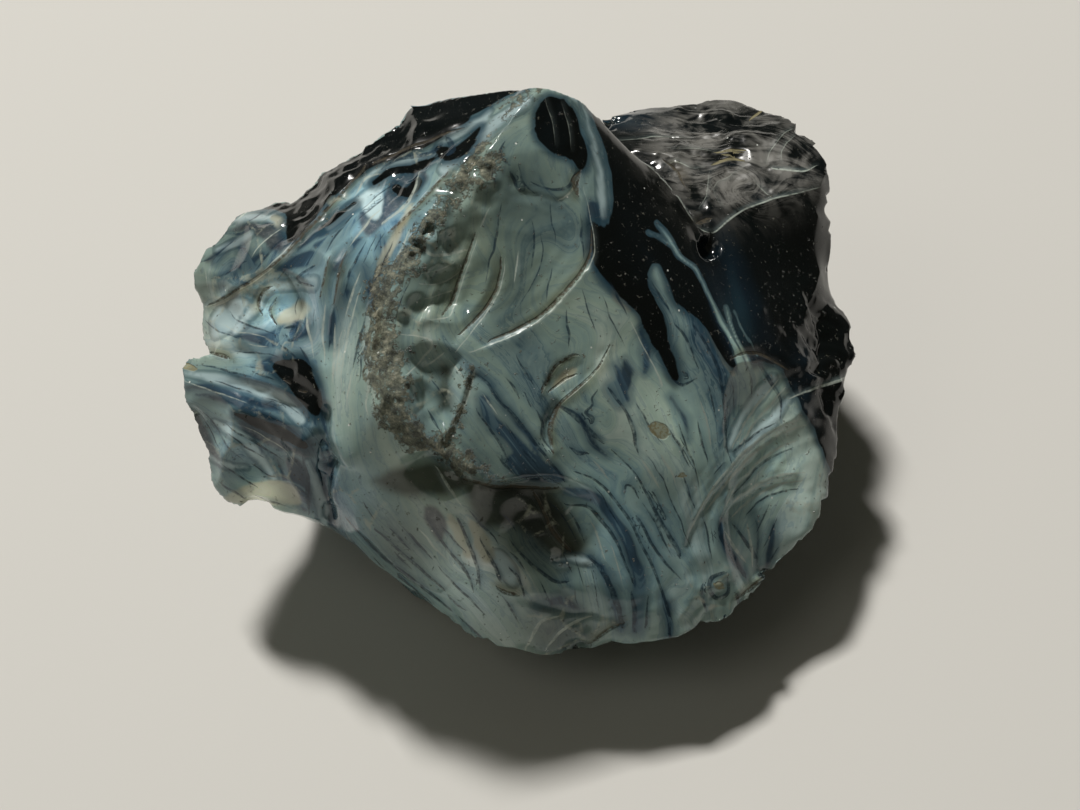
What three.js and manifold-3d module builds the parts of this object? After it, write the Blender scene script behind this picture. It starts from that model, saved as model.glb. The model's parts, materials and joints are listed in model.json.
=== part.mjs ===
// A hand-sized lump of marbled glass, broken all over by shell-shaped fractures.
// Millimetres, +Z up. It stands on a flat face; the broad marbled face looks to the front (-Y) and up,
// from the peak down to the front lip. The origin is the middle of its box, at the floor.

import * as THREE from 'three';
import { ConvexGeometry } from 'three/addons/geometries/ConvexGeometry.js';
import { mergeVertices } from 'three/addons/utils/BufferGeometryUtils.js';
import Module from 'manifold-3d';

const wasm = await Module();
wasm.setup();

// Driving dimensions.
const WIDTH = 151; // across the lump, left knob to right edge
const DRAWN_WIDTH = 151; // the width at which the corners below are written
const REST_TRIM = 1; // how much is taken off the underside to make the face it stands on
const BUBBLE_RADIUS = 2.6; // the burst gas bubble where the crest meets the shoulder
const WELD = 1e-3; // corners nearer than this are one corner
const FLOOR_BLOCK = [400, 400, 100]; // the block that trims the underside

// The cutters that take the fractures off.
const RIM_LIFT = 7; // how far a cutter stands above the skin that it cuts
const RIM_FLARE = 1.4; // how much wider a rippled one is up there
const SHELL_SIDES = 26; // round a rippled one
const STEPS_PER_RING = 3; // along its radius
const SHELL_PEAK = 1.87; // brings the deepest point of its curve to 1
const RIPPLE_HEIGHT = 0.35;

// The lump is made of overlapping convex masses. Each is a list of its corners, [x, y, z]:
// x to the right, y to the back, z up from the floor.

const PEAK = [0, 37, 105];
const CREST_END = [36, 20, 72]; // where the right crest runs out into the shoulder
const RIDGE_TOP = [-14, 15, 101]; // the crusted ridge, top to bottom
const RIDGE_KNEE = [-29, -4, 92];
const RIDGE_FOOT = [-31, -26, 76];
const RIGHT_CORNER = [65, -13, 29];
const LIP_MIDDLE = [3, -51, 19];

const REST_FACE = [
  [-30, -20, 0], [18, -26, 0], [44, -8, 0], [48, 26, 0], [10, 46, 0], [-28, 34, 0], [-42, 6, 0],
];

// The body: crest, broad front face, front lip and the underside.
const body = [
  PEAK, [-4, 38, 103], [8, 37, 101], [13, 40, 93], [18, 37, 87], [25, 34, 84], [31, 29, 79],
  [34, 24, 75], CREST_END, [-8, 22, 102], RIDGE_TOP, [-23, 5, 97], RIDGE_KNEE, [-32, -16, 83], RIDGE_FOOT,
  [-22, -33, 69], [13, 6, 87], [23, -22, 61], [43, -4, 62], [57, -2, 48],
  RIGHT_CORNER, [62, -21, 28], [56, -27, 29], [49, -34, 27], [47, -39, 24], [42, -44, 24], [30, -50, 25],
  [25, -50, 24], [17, -50, 25], [11, -50, 20], LIP_MIDDLE, [-3, -51, 23], [-11, -50, 22],
  [-17, -45, 23], [-23, -40, 28], [-29, -35, 32], [-36, -31, 33], [-42, -30, 36],
  [-40, -26, 66], [-44, -30, 47],
  [0, 58, 70], [30, 56, 42], [-30, 54, 30], [58, 30, 24], [56, -12, 12],
  [25, -40, 8], [-25, -36, 12], [-50, -14, 20], [-46, 30, 20], ...REST_FACE,
];

// The dark band behind the crusted ridge, falling away to the upper left.
const band = [
  [-4, 38, 103], [-9, 40, 100], [-18, 43, 95], [-26, 45, 92], [-31, 47, 90], [-36, 44, 85],
  [-42, 41, 82], [-47, 37, 78], [-53, 34, 76], [-48, 24, 81], [-51, 15, 81], [-43, 3, 86],
  RIDGE_KNEE, [-23, 5, 97], RIDGE_TOP, [-8, 22, 102], [-6, 31, 103], [2, 32, 98], [-5, 15, 90],
  [-40, 48, 66], [-8, 58, 72], [-62, 30, 52], [-30, 40, 20], [0, 30, 30], [-50, 10, 30],
];

// Smooth upright columns left of the ridge.
const columns = [
  RIDGE_KNEE, [-32, -16, 84], [-32, -25, 77], [-43, 3, 86], [-46, -2, 79], [-47, -8, 73],
  [-44, -18, 67], [-43, -26, 63], [-40, -31, 59], [-45, -23, 59], [-34, -31, 62],
  [-50, 0, 30], [-30, 0, 20], [-30, 20, 60],
];

// The shoulder behind the right crest: a stepped top and a tall dark front.
const shoulder = [
  [14, 74, 61], [24, 82, 57], [34, 85, 57], [45, 84, 59], [49, 80, 60], [54, 74, 62], [59, 71, 64],
  [64, 63, 65], [67, 54, 65], [65, 45, 62], [66, 37, 56], [67, 32, 51], [65, 30, 50], [36, 22, 69],
  [38, 26, 71], [44, 32, 71], [53, 38, 69], [59, 44, 68], [64, 46, 66], [43, -2, 61], [57, 1, 48],
  [62, 18, 48], [22, 44, 72],
  [67, 48, 36], [62, 40, 12], [20, 74, 40], [42, 79, 36], [52, 60, 14], [20, 62, 16], [62, 10, 18],
  [0, 40, 20], [20, 20, 60],
];

// The dark right-hand edge below the shoulder.
const rightEdge = [
  [60, 27, 54], [65, 30, 50], [68, 29, 46], [71, 23, 44], [72, 17, 42], [70, 10, 38], [68, 2, 34],
  [66, -6, 31], RIGHT_CORNER, [57, 1, 49], [62, 9, 45], [63, 14, 47], [60, -6, 42], [55, -7, 46],
  [62, 14, 14], [60, 34, 18], [40, 10, 30], [56, -12, 12],
];

// Three knobs one above the other on the left.
const upperKnob = [
  [-53, 34, 76], [-62, 34, 72], [-69, 28, 72], [-76, 21, 68], [-77, 18, 66], [-75, 14, 61], [-58, 26, 77],
  [-52, 16, 80], [-67, 20, 75], [-60, 10, 75], [-67, 9, 69], [-55, 10, 79], [-48, 27, 79],
  [-60, 36, 46], [-70, 16, 46], [-40, 0, 40], [-40, 40, 30], [-20, 20, 60],
];
const middleKnob = [
  [-75, 14, 61], [-75, 8, 57], [-73, 4, 57], [-67, 9, 68], [-59, 7, 74], [-47, 1, 81], [-44, 4, 85],
  [-45, -17, 67], [-63, -2, 63], [-71, 3, 60], [-53, 14, 80], [-55, 9, 79], [-46, 14, 82],
  [-68, 10, 38], [-40, 10, 50], [-30, 0, 20],
];
const lowerKnob = [
  [-79, 3, 56], [-79, -2, 54], [-77, -7, 49], [-75, -11, 44], [-73, -16, 36], [-70, -18, 33], [-64, -16, 27],
  [-55, -17, 29], [-65, -1, 63], [-53, -8, 66], [-46, -16, 66], [-45, -22, 61], [-64, -12, 59],
  [-48, -22, 60], [-56, -22, 50], [-60, -21, 43], [-54, -22, 41], [-47, -25, 56], [-47, -27, 36],
  [-68, 8, 36], [-62, 6, 22], [-36, -20, 16], [-50, 14, 20], [-30, 10, 20],
];

// The rear, which ties the knobs, the band and the shoulder together.
const rear = [
  [-64, 18, 56], [-60, 34, 44], [-46, 46, 60], [-20, 58, 66], [10, 62, 66], [2, 46, 88], [-14, 48, 86],
  [32, 70, 44], [20, 54, 4], [-18, 46, 3], [-46, 32, 8], [-62, 18, 24], [-60, -2, 18], [-40, -14, 12],
  [38, 42, 4], [0, 0, 40],
];

const masses = [body, band, columns, shoulder, rightEdge, upperKnob, middleKnob, lowerKnob, rear];

// A closed geometry as a solid that can be joined and cut.
function solid(geometry) {
  geometry.deleteAttribute('normal');
  geometry.deleteAttribute('uv');
  const merged = mergeVertices(geometry, WELD);
  const corners = merged.index.array;
  const kept = [];
  for (let i = 0; i < corners.length; i += 3) {
    const [a, b, c] = [corners[i], corners[i + 1], corners[i + 2]];
    if (a !== b && b !== c && c !== a) kept.push(a, b, c);
  }
  return new wasm.Manifold(new wasm.Mesh({
    numProp: 3,
    vertProperties: new Float32Array(merged.attributes.position.array),
    triVerts: new Uint32Array(kept),
  }));
}

function lumpFrom(corners) {
  return solid(new ConvexGeometry(corners.map((corner) => new THREE.Vector3(...corner))));
}

// The way a fracture looks: degrees round from the front towards the right, and degrees up.
function direction([round, up]) {
  const a = THREE.MathUtils.degToRad(round);
  const e = THREE.MathUtils.degToRad(up);
  return new THREE.Vector3(Math.sin(a) * Math.cos(e), -Math.cos(a) * Math.cos(e), Math.sin(e));
}

// Moves a cutter made about the Y axis so that its axis looks the way it faces.
function place(geometry, at, facing) {
  const out = direction(facing);
  const up = new THREE.Vector3(0, 0, 1).addScaledVector(out, -out.z).normalize();
  const right = new THREE.Vector3().crossVectors(up, out);
  geometry.applyMatrix4(new THREE.Matrix4().makeBasis(right, out, up.clone().negate()));
  return geometry.translate(...at);
}

// The cutter of one flake: its floor and its rim, carried straight out past the skin.
function flakeCutter({ at, facing, rim, floor }) {
  const outside = rim.map(([right, up]) => [right, up, -RIM_LIFT]);
  const corners = [...floor, ...rim, ...outside];
  const points = corners.map(([right, up, deep]) => new THREE.Vector3(right, -deep, -up));
  return solid(place(new ConvexGeometry(points), at, facing));
}

// The same for a plain flake: one irregular outline, scaled and turned.
const PLAIN_RIM = [
  [-0.95, 0.1], [-0.72, 0.64], [-0.1, 0.96], [0.52, 0.8], [0.96, 0.22], [0.84, -0.44], [0.36, -0.9],
  [-0.34, -0.94], [-0.86, -0.5],
];
const PLAIN_FLOOR = [
  [-0.5, 0.18, 0.8], [0.05, 0.5, 0.9], [0.46, 0.02, 1], [0.12, -0.5, 0.85], [-0.4, -0.36, 1], [0, 0, 1.15],
];

function plainFlakeCutter({ at, facing, size, depth, turn = 0 }) {
  const angle = THREE.MathUtils.degToRad(turn);
  const spread = ([right, up, deep = 0]) => [
    size[0] * (right * Math.cos(angle) - up * Math.sin(angle)),
    size[1] * (right * Math.sin(angle) + up * Math.cos(angle)),
    depth * deep,
  ];
  return flakeCutter({ at, facing, rim: PLAIN_RIM.map(spread), floor: PLAIN_FLOOR.map(spread) });
}

// The cutter of one rippled fracture. It set out from an edge, where it is centred, and deepens
// outwards in rings until it stops at a step.
function shellCutter({ at, facing, size, depth, rings }) {
  const profile = [new THREE.Vector2(0, 0)];
  const steps = rings * STEPS_PER_RING;
  for (let i = 1; i <= steps; i += 1) {
    const t = i / steps;
    const deep = depth * SHELL_PEAK * t * (1 - t ** 4);
    profile.push(new THREE.Vector2(t, RIPPLE_HEIGHT * Math.sin(t * rings * Math.PI * 2) - deep));
  }
  profile.push(new THREE.Vector2(RIM_FLARE, RIM_LIFT), new THREE.Vector2(0, RIM_LIFT));
  const geometry = new THREE.LatheGeometry(profile, SHELL_SIDES);
  geometry.scale(size[0], 1, size[1]);
  return solid(place(geometry, at, facing));
}

// Flakes struck off the skin. rim and floor are corners [right, up, deep] about the middle of the
// flake, seen square on from the way it faces.
const flakes = [
  // The front face, from the peak down.
  { // fibrous patch under the peak
    at: [3, 29, 100], facing: [52, 56],
    rim: [[-4, 8, 0], [2, 8, 0], [6, 2, 0], [6, -4, -1], [2, -10, -1], [-2, -6, 0], [-7, -2, 0], [-7, 4, 0]],
    floor: [[-1, 3, 1.5], [2, -1, 1.4], [0, -4, 1]],
  },
  { // the great scar, which stops at a crisp step on its right
    at: [-5, 4, 91], facing: [30, 55],
    rim: [
      [18, 3, 1], [16, -6, 1], [12, -11, 1], [6, -14, 1], [-2, -17, 2], [-9, -18, 2], [-18, -17, 2],
      [-22, -11, 2], [-20, -1, 1], [-13, 9, 0], [-1, 17, 0], [12, 17, 1], [18, 11, 1],
    ],
    floor: [
      [12, 3, 3], [9, -5, 3.6], [2, -10, 3.8], [-8, -13, 4.2], [-15, -11, 4], [-14, -2, 3], [-5, 8, 2.4],
      [9, 11, 2.8],
    ],
  },
  { // a second scar inside it, beside the ridge
    at: [-18, -2, 90], facing: [22, 52],
    rim: [
      [11, -3, 1], [8, -7, 1], [0, -12, 1], [-5, -11, 1], [-11, -8, 0], [-10, 0, 0], [-4, 7, 0], [5, 14, 0],
      [10, 8, 1],
    ],
    floor: [[7, -2, 3.8], [1, -8, 4.2], [-6, -6, 3.4], [-4, 2, 3.4], [4, 8, 3]],
  },
  { // a pocket under that
    at: [-22, -24, 76], facing: [13, 49],
    rim: [[9, 7, 1], [6, -3, 1], [0, -11, 0], [-5, -7, 0], [-7, 1, 0], [-5, 10, 0], [2, 11, 1]],
    floor: [[6, 5, 3.6], [2, -4, 3.2], [-3, -1, 3], [0, 6, 3.4]],
  },
  { // a chip in the middle
    at: [5, -17, 72], facing: [25, 49],
    rim: [[-4, 1, 0], [-1, 4, 0], [4, 4, 0], [7, 2, 0], [5, -1, 0], [-1, -4, 0], [-5, -3, 0]],
    floor: [[-1, 0, 1.4], [3, 1, 1.4]],
  },
  { // the hollow under the ledge
    at: [-1, -40, 50], facing: [7, 28],
    rim: [
      [-12, 12, 0], [-2, 12, 1], [7, 11, 2], [14, 6, 3], [15, -3, 2], [11, -12, 0], [5, -15, 1], [-4, -13, 1],
      [-10, -7, 1], [-13, 3, 0],
    ],
    floor: [[-7, 9, 5], [3, 9, 7], [10, 4, 7.5], [6, -3, 7], [-1, -4, 5.5], [-6, 1, 4.5]],
  },
  { // the arched hollow beside it
    at: [-25, -35, 58], facing: [-13, 21],
    rim: [[-11, -2, 2], [-6, 5, 0], [2, 10, 0], [8, 8, 0], [12, 4, 0], [8, -1, 0], [-1, -5, 1], [-12, -9, 3]],
    floor: [[-4, 3, 4], [2, 7, 5], [7, 4, 4], [1, 0, 3], [-6, -2, 4]],
  },
  { // the rippled corner: its upper fracture
    at: [49, -8, 52], facing: [50, 40],
    rim: [
      [-9, 8, 1], [-2, 13, 0], [8, 7, 2], [13, 0, 3], [10, -7, 2], [2, -8, 1], [-10, -6, 1], [-13, -1, 1],
    ],
    floor: [[-4, 6, 2], [3, 4, 2.6], [2, -2, 3], [-7, -2, 2.6]],
  },
  { // a broad shallow one at the lower left
    at: [-26, -37, 46], facing: [-20, 14],
    rim: [[-14, 4, 0], [-2, 9, 0], [9, 4, 0], [12, -6, 1], [6, -16, 1], [-5, -15, 1], [-14, -8, 0]],
    floor: [[-6, 0, 1.6], [3, -3, 2], [0, -9, 1.8]],
  },

  // The left: band, columns and knobs.
  { // the step along the band
    at: [-30, 25, 92], facing: [-97, 60],
    rim: [
      [-8, 21, 1], [-5, 7, 0], [-4, -6, 0], [0, -15, 0], [5, -20, 0], [10, -12, 0], [8, 2, 0], [0, 13, 0],
    ],
    floor: [[-1, 10, 1.6], [3, -2, 1.6], [6, -11, 1.6]],
  },
  { // flute down the columns
    at: [-40, -10, 80], facing: [-55, 38],
    rim: [[-3, 12, 0], [2, 15, 0], [5, 4, 0], [4, -10, 0], [0, -18, 0], [-3, -6, 0]],
    floor: [[0, 8, 1.4], [1, -8, 1.4]],
  },
  { // hollow between the ridge and the knobs
    at: [-55, 1, 73], facing: [-35, 37],
    rim: [
      [-6, -8, 1], [-10, -3, 2], [-9, 4, 2], [-4, 9, 3], [6, 9, -1], [10, 3, -2], [8, -4, -2], [1, -9, 0],
    ],
    floor: [[-3, 0, 4], [3, 3, 3.6], [4, -3, 3]],
  },
  {
    at: [-68, 15, 71], facing: [-56, 40],
    rim: [[-3, 5, 0], [9, 6, 0], [6, -3, 0], [0, -11, 1], [-5, -8, 0], [-7, -2, 0]],
    floor: [[0, 1, 1.6], [2, -4, 1.6]],
  },
  {
    at: [-59, -12, 61], facing: [-38, 48],
    rim: [[-15, -5, 1], [-11, 0, 1], [2, 3, 0], [14, 4, 0], [17, 0, 0], [7, -3, 0], [-5, -4, 0]],
    floor: [[-6, -1, 2], [6, 1, 2]],
  },
  {
    at: [-58, -20, 52], facing: [-30, 17],
    rim: [[-10, 6, 2], [1, 6, 1], [7, 6, 0], [10, -1, 1], [8, -11, 2], [-1, -9, 1], [-7, -4, 1]],
    floor: [[-1, 2, 2.4], [3, -4, 2.8]],
  },

  // The shoulder and the right-hand edge.
  {
    at: [44, 42, 70], facing: [150, 82],
    rim: [[22, 4, 1], [9, -9, 1], [-5, -12, 1], [-15, -6, 0], [-10, 3, 0], [4, 10, 1]],
    floor: [[10, 0, 2.2], [-2, -3, 2]],
  },
  {
    at: [35, 70, 63], facing: [-173, 71],
    rim: [[10, -7, 0], [-4, -9, 0], [-13, -3, 0], [-10, 7, 0], [1, 9, 0], [12, 3, 0]],
    floor: [[3, -1, 1.8], [-5, 0, 1.8]],
  },
  { // its tall dark front
    at: [53, 26, 65], facing: [62, 50],
    rim: [[0, 12, 1], [13, 6, 0], [17, -3, 0], [12, -15, 2], [-2, -15, 2], [-15, -8, 0], [-15, 3, 0]],
    floor: [[5, 2, 2], [3, -7, 3], [-7, -3, 2]],
  },
  {
    at: [66, 15, 46], facing: [68, 38],
    rim: [[9, 6, 1], [9, -3, 0], [3, -5, -1], [-6, -9, 0], [-13, 0, 0], [-7, 6, 1], [1, 8, 1]],
    floor: [[2, 1, 1.8], [-5, -2, 1.6]],
  },
];

// Rippled fractures with round outlines. size is half the width and half the length up the slope.
const shells = [
  { at: [65, -18, 29], facing: [42, 37], size: [31, 28], depth: 2.8, rings: 4 }, // the front right corner
  { at: [66, 58, 66], facing: [112, 76], size: [14, 14], depth: 1.6, rings: 3 }, // the shoulder's corner
  { at: [10, -52, 20], facing: [0, -4], size: [24, 13], depth: 2.2, rings: 2 }, // the front lip
  { at: [-10, 62, 64], facing: [-170, -2], size: [22, 36], depth: 3.2, rings: 5 }, // the back
];

// Plain flakes off the back and the underside, which meet in ridges. size is as for the shells.
const plainFlakes = [
  { at: [18, 46, 80], facing: [146, 26], size: [20, 17], depth: 3 },
  { at: [-14, 52, 82], facing: [-170, 30], size: [19, 17], depth: 3, turn: 30 },
  { at: [-38, 46, 76], facing: [-150, 26], size: [22, 18], depth: 3, turn: 75 },
  { at: [-26, 56, 54], facing: [-158, -2], size: [20, 18], depth: 3.4, turn: 130 },
  { at: [36, 81, 48], facing: [174, -6], size: [22, 15], depth: 3, turn: -15 },
  { at: [62, 70, 50], facing: [128, -4], size: [19, 20], depth: 3.4, turn: 40 },
  { at: [69, 48, 48], facing: [98, 0], size: [16, 18], depth: 2.8, turn: 100 },
  { at: [-54, 42, 48], facing: [-140, 0], size: [22, 22], depth: 4, turn: 15 },
  { at: [-72, 20, 50], facing: [-104, -20], size: [17, 18], depth: 3, turn: 60 },
  { at: [-34, 50, 26], facing: [-152, -20], size: [26, 20], depth: 4, turn: 100 },
  { at: [2, 58, 20], facing: [-178, -24], size: [26, 19], depth: 4, turn: 20 },
  { at: [-58, 20, 20], facing: [-106, -38], size: [25, 20], depth: 4, turn: -30 },
  { at: [-54, -10, 20], facing: [-70, -42], size: [22, 18], depth: 3.4, turn: 50 },
  { at: [-34, -30, 18], facing: [-36, -42], size: [24, 16], depth: 3.4 },
  { at: [-2, -42, 10], facing: [-6, -52], size: [24, 17], depth: 3.2, turn: 80 },
  { at: [30, -38, 10], facing: [22, -52], size: [22, 16], depth: 3, turn: 10 },
  { at: [58, -16, 16], facing: [56, -38], size: [22, 16], depth: 3.2, turn: -20 },
  { at: [66, 14, 26], facing: [84, -18], size: [20, 18], depth: 3.2, turn: 35 },
  { at: [38, 70, 27], facing: [158, -40], size: [24, 20], depth: 3.6, turn: -10 },
];

// Lumps of crust, sunk deep in the ridge so that only their tops stand out, as [middle, radius].
const crustLumps = [
  [[-9, 22, 97.6], 4.4], [[-14, 16, 97], 4.6], [[-18, 12, 95], 4.2], [[-22, 8, 93], 4.6],
  [[-25, 3, 90.4], 5], [[-28, -3, 87.4], 5.2], [[-29, -9, 84], 5], [[-30, -14, 80.6], 5.2],
  [[-29, -20, 76.4], 5], [[-27, -24, 72.6], 4.6],
];

// Nicks in the sharp edges, in the same form, and the burst bubble.
const nicks = [
  [[27, 32, 82], 1.8], [[35, 22, 74], 1.5], [[-44, 39, 80], 1.8], [[-77, 18, 66], 1.6],
  [[-79, 0, 56], 1.4], [[-75, -12, 43], 1.8], [[-66, -17, 29], 1.6], [[-14, -49, 22], 1.8],
  [[14, -51, 21], 2], [[42, -45, 24], 1.6], [[52, -32, 28], 2], [[63, -19, 29], 1.8], [[72, 20, 43], 1.6],
  [[66, 33, 52], 1.8], [[60, 44, 68], 1.8], [[40, 85, 58], 2], [[20, 79, 59], 2],
];
const BUBBLE_AT = [37, 21, 72.5];

function lumpOf([at, radius], detail) {
  const geometry = new THREE.IcosahedronGeometry(radius, detail);
  geometry.rotateX(at[0]); // any turn will do: it keeps neighbours from looking alike
  return solid(geometry.translate(...at));
}

function makeLump() {
  let lump = lumpFrom(masses[0]);
  for (const corners of masses.slice(1)) lump = lump.add(lumpFrom(corners));
  for (const flake of plainFlakes) lump = lump.subtract(plainFlakeCutter(flake));
  for (const shell of shells) lump = lump.subtract(shellCutter(shell));
  for (const flake of flakes) lump = lump.subtract(flakeCutter(flake));
  for (const crust of crustLumps) lump = lump.add(lumpOf(crust, 0));
  for (const nick of nicks) lump = lump.subtract(lumpOf(nick, 0));
  lump = lump.subtract(lumpOf([BUBBLE_AT, BUBBLE_RADIUS], 2));
  const floor = new THREE.BoxGeometry(...FLOOR_BLOCK);
  floor.translate(0, 0, REST_TRIM - FLOOR_BLOCK[2] / 2);
  return lump.subtract(solid(floor));
}

// The solid as a geometry, centred over the origin and standing on the floor.
function standing(lump) {
  const mesh = lump.getMesh();
  const geometry = new THREE.BufferGeometry();
  const positions = new Float32Array(mesh.vertProperties);
  geometry.setAttribute('position', new THREE.BufferAttribute(positions, 3));
  geometry.setIndex(new THREE.BufferAttribute(new Uint32Array(mesh.triVerts), 1));
  geometry.computeBoundingBox();
  const { min, max } = geometry.boundingBox;
  geometry.translate(-(min.x + max.x) / 2, -(min.y + max.y) / 2, -min.z);
  const size = WIDTH / DRAWN_WIDTH;
  geometry.scale(size, size, size);
  geometry.computeVertexNormals();
  return geometry;
}

const glass = new THREE.MeshStandardMaterial({ color: 0x52605a, roughness: 0.28, metalness: 0 });
const glassLump = new THREE.Mesh(standing(makeLump()), glass);
glassLump.name = 'glass_lump';

const group = new THREE.Group();
group.add(glassLump);

export default group;
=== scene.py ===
# %% [markdown]
# # A lump of swirled slag glass
# A hand-sized lump of marbled glass, broken all over by shell-shaped fractures. The solid that comes
# with the frame already has its size, its crest, its knobs and its main hollows. This lesson gives it
# a real skin: rounded fractures with crisp rims, ripples, crust and nicks, and glass that was stirred
# while it was soft. Lengths are in millimetres until they go into Blender, which takes metres.

# %% Load the solid
import json
import math

import bmesh
import bpy
import numpy as np
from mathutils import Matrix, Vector, kdtree, noise

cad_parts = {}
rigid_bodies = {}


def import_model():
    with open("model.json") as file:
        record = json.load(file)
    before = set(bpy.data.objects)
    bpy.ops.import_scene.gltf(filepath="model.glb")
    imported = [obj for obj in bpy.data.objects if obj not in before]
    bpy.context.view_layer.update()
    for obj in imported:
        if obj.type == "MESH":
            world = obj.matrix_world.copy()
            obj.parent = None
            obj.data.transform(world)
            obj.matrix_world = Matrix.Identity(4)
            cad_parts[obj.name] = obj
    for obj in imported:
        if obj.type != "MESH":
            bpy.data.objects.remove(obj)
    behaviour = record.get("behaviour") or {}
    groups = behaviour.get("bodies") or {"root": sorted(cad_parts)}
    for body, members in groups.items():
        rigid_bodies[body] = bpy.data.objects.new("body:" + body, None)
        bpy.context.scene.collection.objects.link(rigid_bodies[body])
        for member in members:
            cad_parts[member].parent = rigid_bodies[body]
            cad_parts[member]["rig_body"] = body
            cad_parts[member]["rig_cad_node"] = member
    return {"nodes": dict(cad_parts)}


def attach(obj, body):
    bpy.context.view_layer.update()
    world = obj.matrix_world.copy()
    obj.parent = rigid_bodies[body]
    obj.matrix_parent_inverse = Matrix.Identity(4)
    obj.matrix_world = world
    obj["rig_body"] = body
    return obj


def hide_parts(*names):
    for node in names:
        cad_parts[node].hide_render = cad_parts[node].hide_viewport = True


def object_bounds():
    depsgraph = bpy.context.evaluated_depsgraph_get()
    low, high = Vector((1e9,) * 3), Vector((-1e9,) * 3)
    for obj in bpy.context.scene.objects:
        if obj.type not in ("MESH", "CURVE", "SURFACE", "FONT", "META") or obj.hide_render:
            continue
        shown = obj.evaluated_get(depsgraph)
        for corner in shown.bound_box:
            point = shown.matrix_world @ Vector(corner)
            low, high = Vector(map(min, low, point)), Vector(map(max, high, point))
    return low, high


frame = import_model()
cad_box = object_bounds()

MM = 0.001
solid = frame["nodes"]["glass_lump"]
sides = [round((high - low) / MM) for low, high in zip(*cad_box)]
print("solid:", len(solid.data.polygons), "faces,", sides, "mm along x, y and z")

# %% [markdown]
# ## The camera
# The lump is looked at from close by and from well above, about 50 degrees, so that the broad marbled
# face is seen nearly square on. A long lens keeps the near lip from swelling.

# %% Add the camera
LOOK_AT = Vector((3.5, -15.6, 42)) * MM
EYE_DISTANCE = 500 * MM
EYE_HEIGHT_ANGLE = math.radians(50)
LENS = 75

eye = LOOK_AT + EYE_DISTANCE * Vector((0, -math.cos(EYE_HEIGHT_ANGLE), math.sin(EYE_HEIGHT_ANGLE)))
bpy.ops.object.camera_add(location=eye, rotation=(math.pi / 2 - EYE_HEIGHT_ANGLE, 0, 0))
camera = bpy.context.active_object
camera.data.lens = LENS
bpy.context.scene.camera = camera
print("camera", [round(value, 3) for value in eye])

# %% [markdown]
# ## Floor and light
# A pale floor, a soft key light behind and to the left, and a weak even sky. The key grazes the broad
# face, which is why its shallow scars and ripples show. The sky fills the shadow that falls forward.

# %% Lay the floor
FLOOR_SIZE = 6

bpy.ops.object.select_all(action="DESELECT")
bpy.ops.mesh.primitive_plane_add(size=FLOOR_SIZE, location=(0, 0, 0))
floor = bpy.context.active_object
floor.name = "floor"

floor_finish = bpy.data.materials.new("pale_floor")
floor_finish.use_nodes = True
floor_shader = floor_finish.node_tree.nodes["Principled BSDF"]
floor_shader.inputs["Base Color"].default_value = (0.61, 0.60, 0.572, 1)
floor_shader.inputs["Roughness"].default_value = 0.7
floor_shader.inputs["Specular IOR Level"].default_value = 0.25
floor.data.materials.append(floor_finish)
print("floor", FLOOR_SIZE, "m wide")

# %% Hang the lights
KEY_FROM = Vector((-0.22, 0.45, 0.82))
SIDE_FROM = Vector((-0.55, -0.30, 0.80))


def area_light(name, direction, distance, size, watts, colour):
    """Hang a square soft light that looks at the lump. Its distance and size are in metres."""
    bpy.ops.object.light_add(type="AREA", location=LOOK_AT + direction.normalized() * distance)
    light = bpy.context.active_object
    light.name = name
    light.rotation_euler = direction.to_track_quat("Z", "Y").to_euler()
    light.data.size = size
    light.data.energy = watts
    light.data.color = colour


area_light("key", KEY_FROM, 3.0, 0.34, 98, (1, 0.975, 0.93))
area_light("side_fill", SIDE_FROM, 2.0, 1.0, 2.4, (1, 0.98, 0.86))

sky = bpy.data.worlds.new("sky")
bpy.context.scene.world = sky
sky.use_nodes = True
sky.node_tree.nodes["Background"].inputs["Color"].default_value = (1, 0.99, 0.78, 1)
sky.node_tree.nodes["Background"].inputs["Strength"].default_value = 0.05
bpy.context.scene.view_settings.view_transform = "Standard"

# %% [markdown]
# ## A drawing board
# Most marks on the broad face are laid out as on paper: on a board that leans over the lump, square to
# the line of sight, and are pressed straight onto the glass. They could be laid out in the lump's own
# x, y and z, but then each would need its depth as well. A place on the board is (across, up) in
# millimetres from the lump's own origin.

# %% Set up the board
BOARD_UP = np.array((0, math.sin(EYE_HEIGHT_ANGLE), math.cos(EYE_HEIGHT_ANGLE)))
BOARD_OUT = np.array((0, -math.cos(EYE_HEIGHT_ANGLE), math.sin(EYE_HEIGHT_ANGLE)))


def on_board(points):
    return np.stack([points[:, 0], points @ BOARD_UP], axis=1)


def patch(places, across, up, radius, power=1):
    """1 in the middle of a round patch of the board, fading out at its radius. A higher power gives
    it a flatter middle and a shorter fade."""
    gap_squared = (places[:, 0] - across) ** 2 + (places[:, 1] - up) ** 2
    return np.exp(-((gap_squared / radius**2) ** power))


print("the board leans back by", round(math.degrees(EYE_HEIGHT_ANGLE)), "degrees")

# %% [markdown]
# ## The skin
# The glass needs far more faces than the solid has. It could be sculpted, or cut again with finer
# cutters. Here a copy of the solid is merged, its sharp edges are noted, and it is remeshed into small
# even squares, which can then be moved one by one in code.

# %% Copy the solid and merge its corners
bpy.ops.object.select_all(action="DESELECT")
solid.select_set(True)
bpy.context.view_layer.objects.active = solid
bpy.ops.object.duplicate(linked=False)
lump = bpy.context.active_object
lump.name = "marbled_lump"
lump.parent = None
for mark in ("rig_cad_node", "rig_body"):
    del lump[mark]

bpy.ops.object.mode_set(mode="EDIT")
bpy.ops.mesh.select_all(action="SELECT")
bpy.ops.mesh.remove_doubles(threshold=0.001 * MM)
bpy.ops.object.mode_set(mode="OBJECT")
print("merged copy:", len(lump.data.vertices), "corners")

# %% Note the sharp edges
SHARP_ANGLE = math.radians(27)
MARK_EVERY = 0.4


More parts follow.
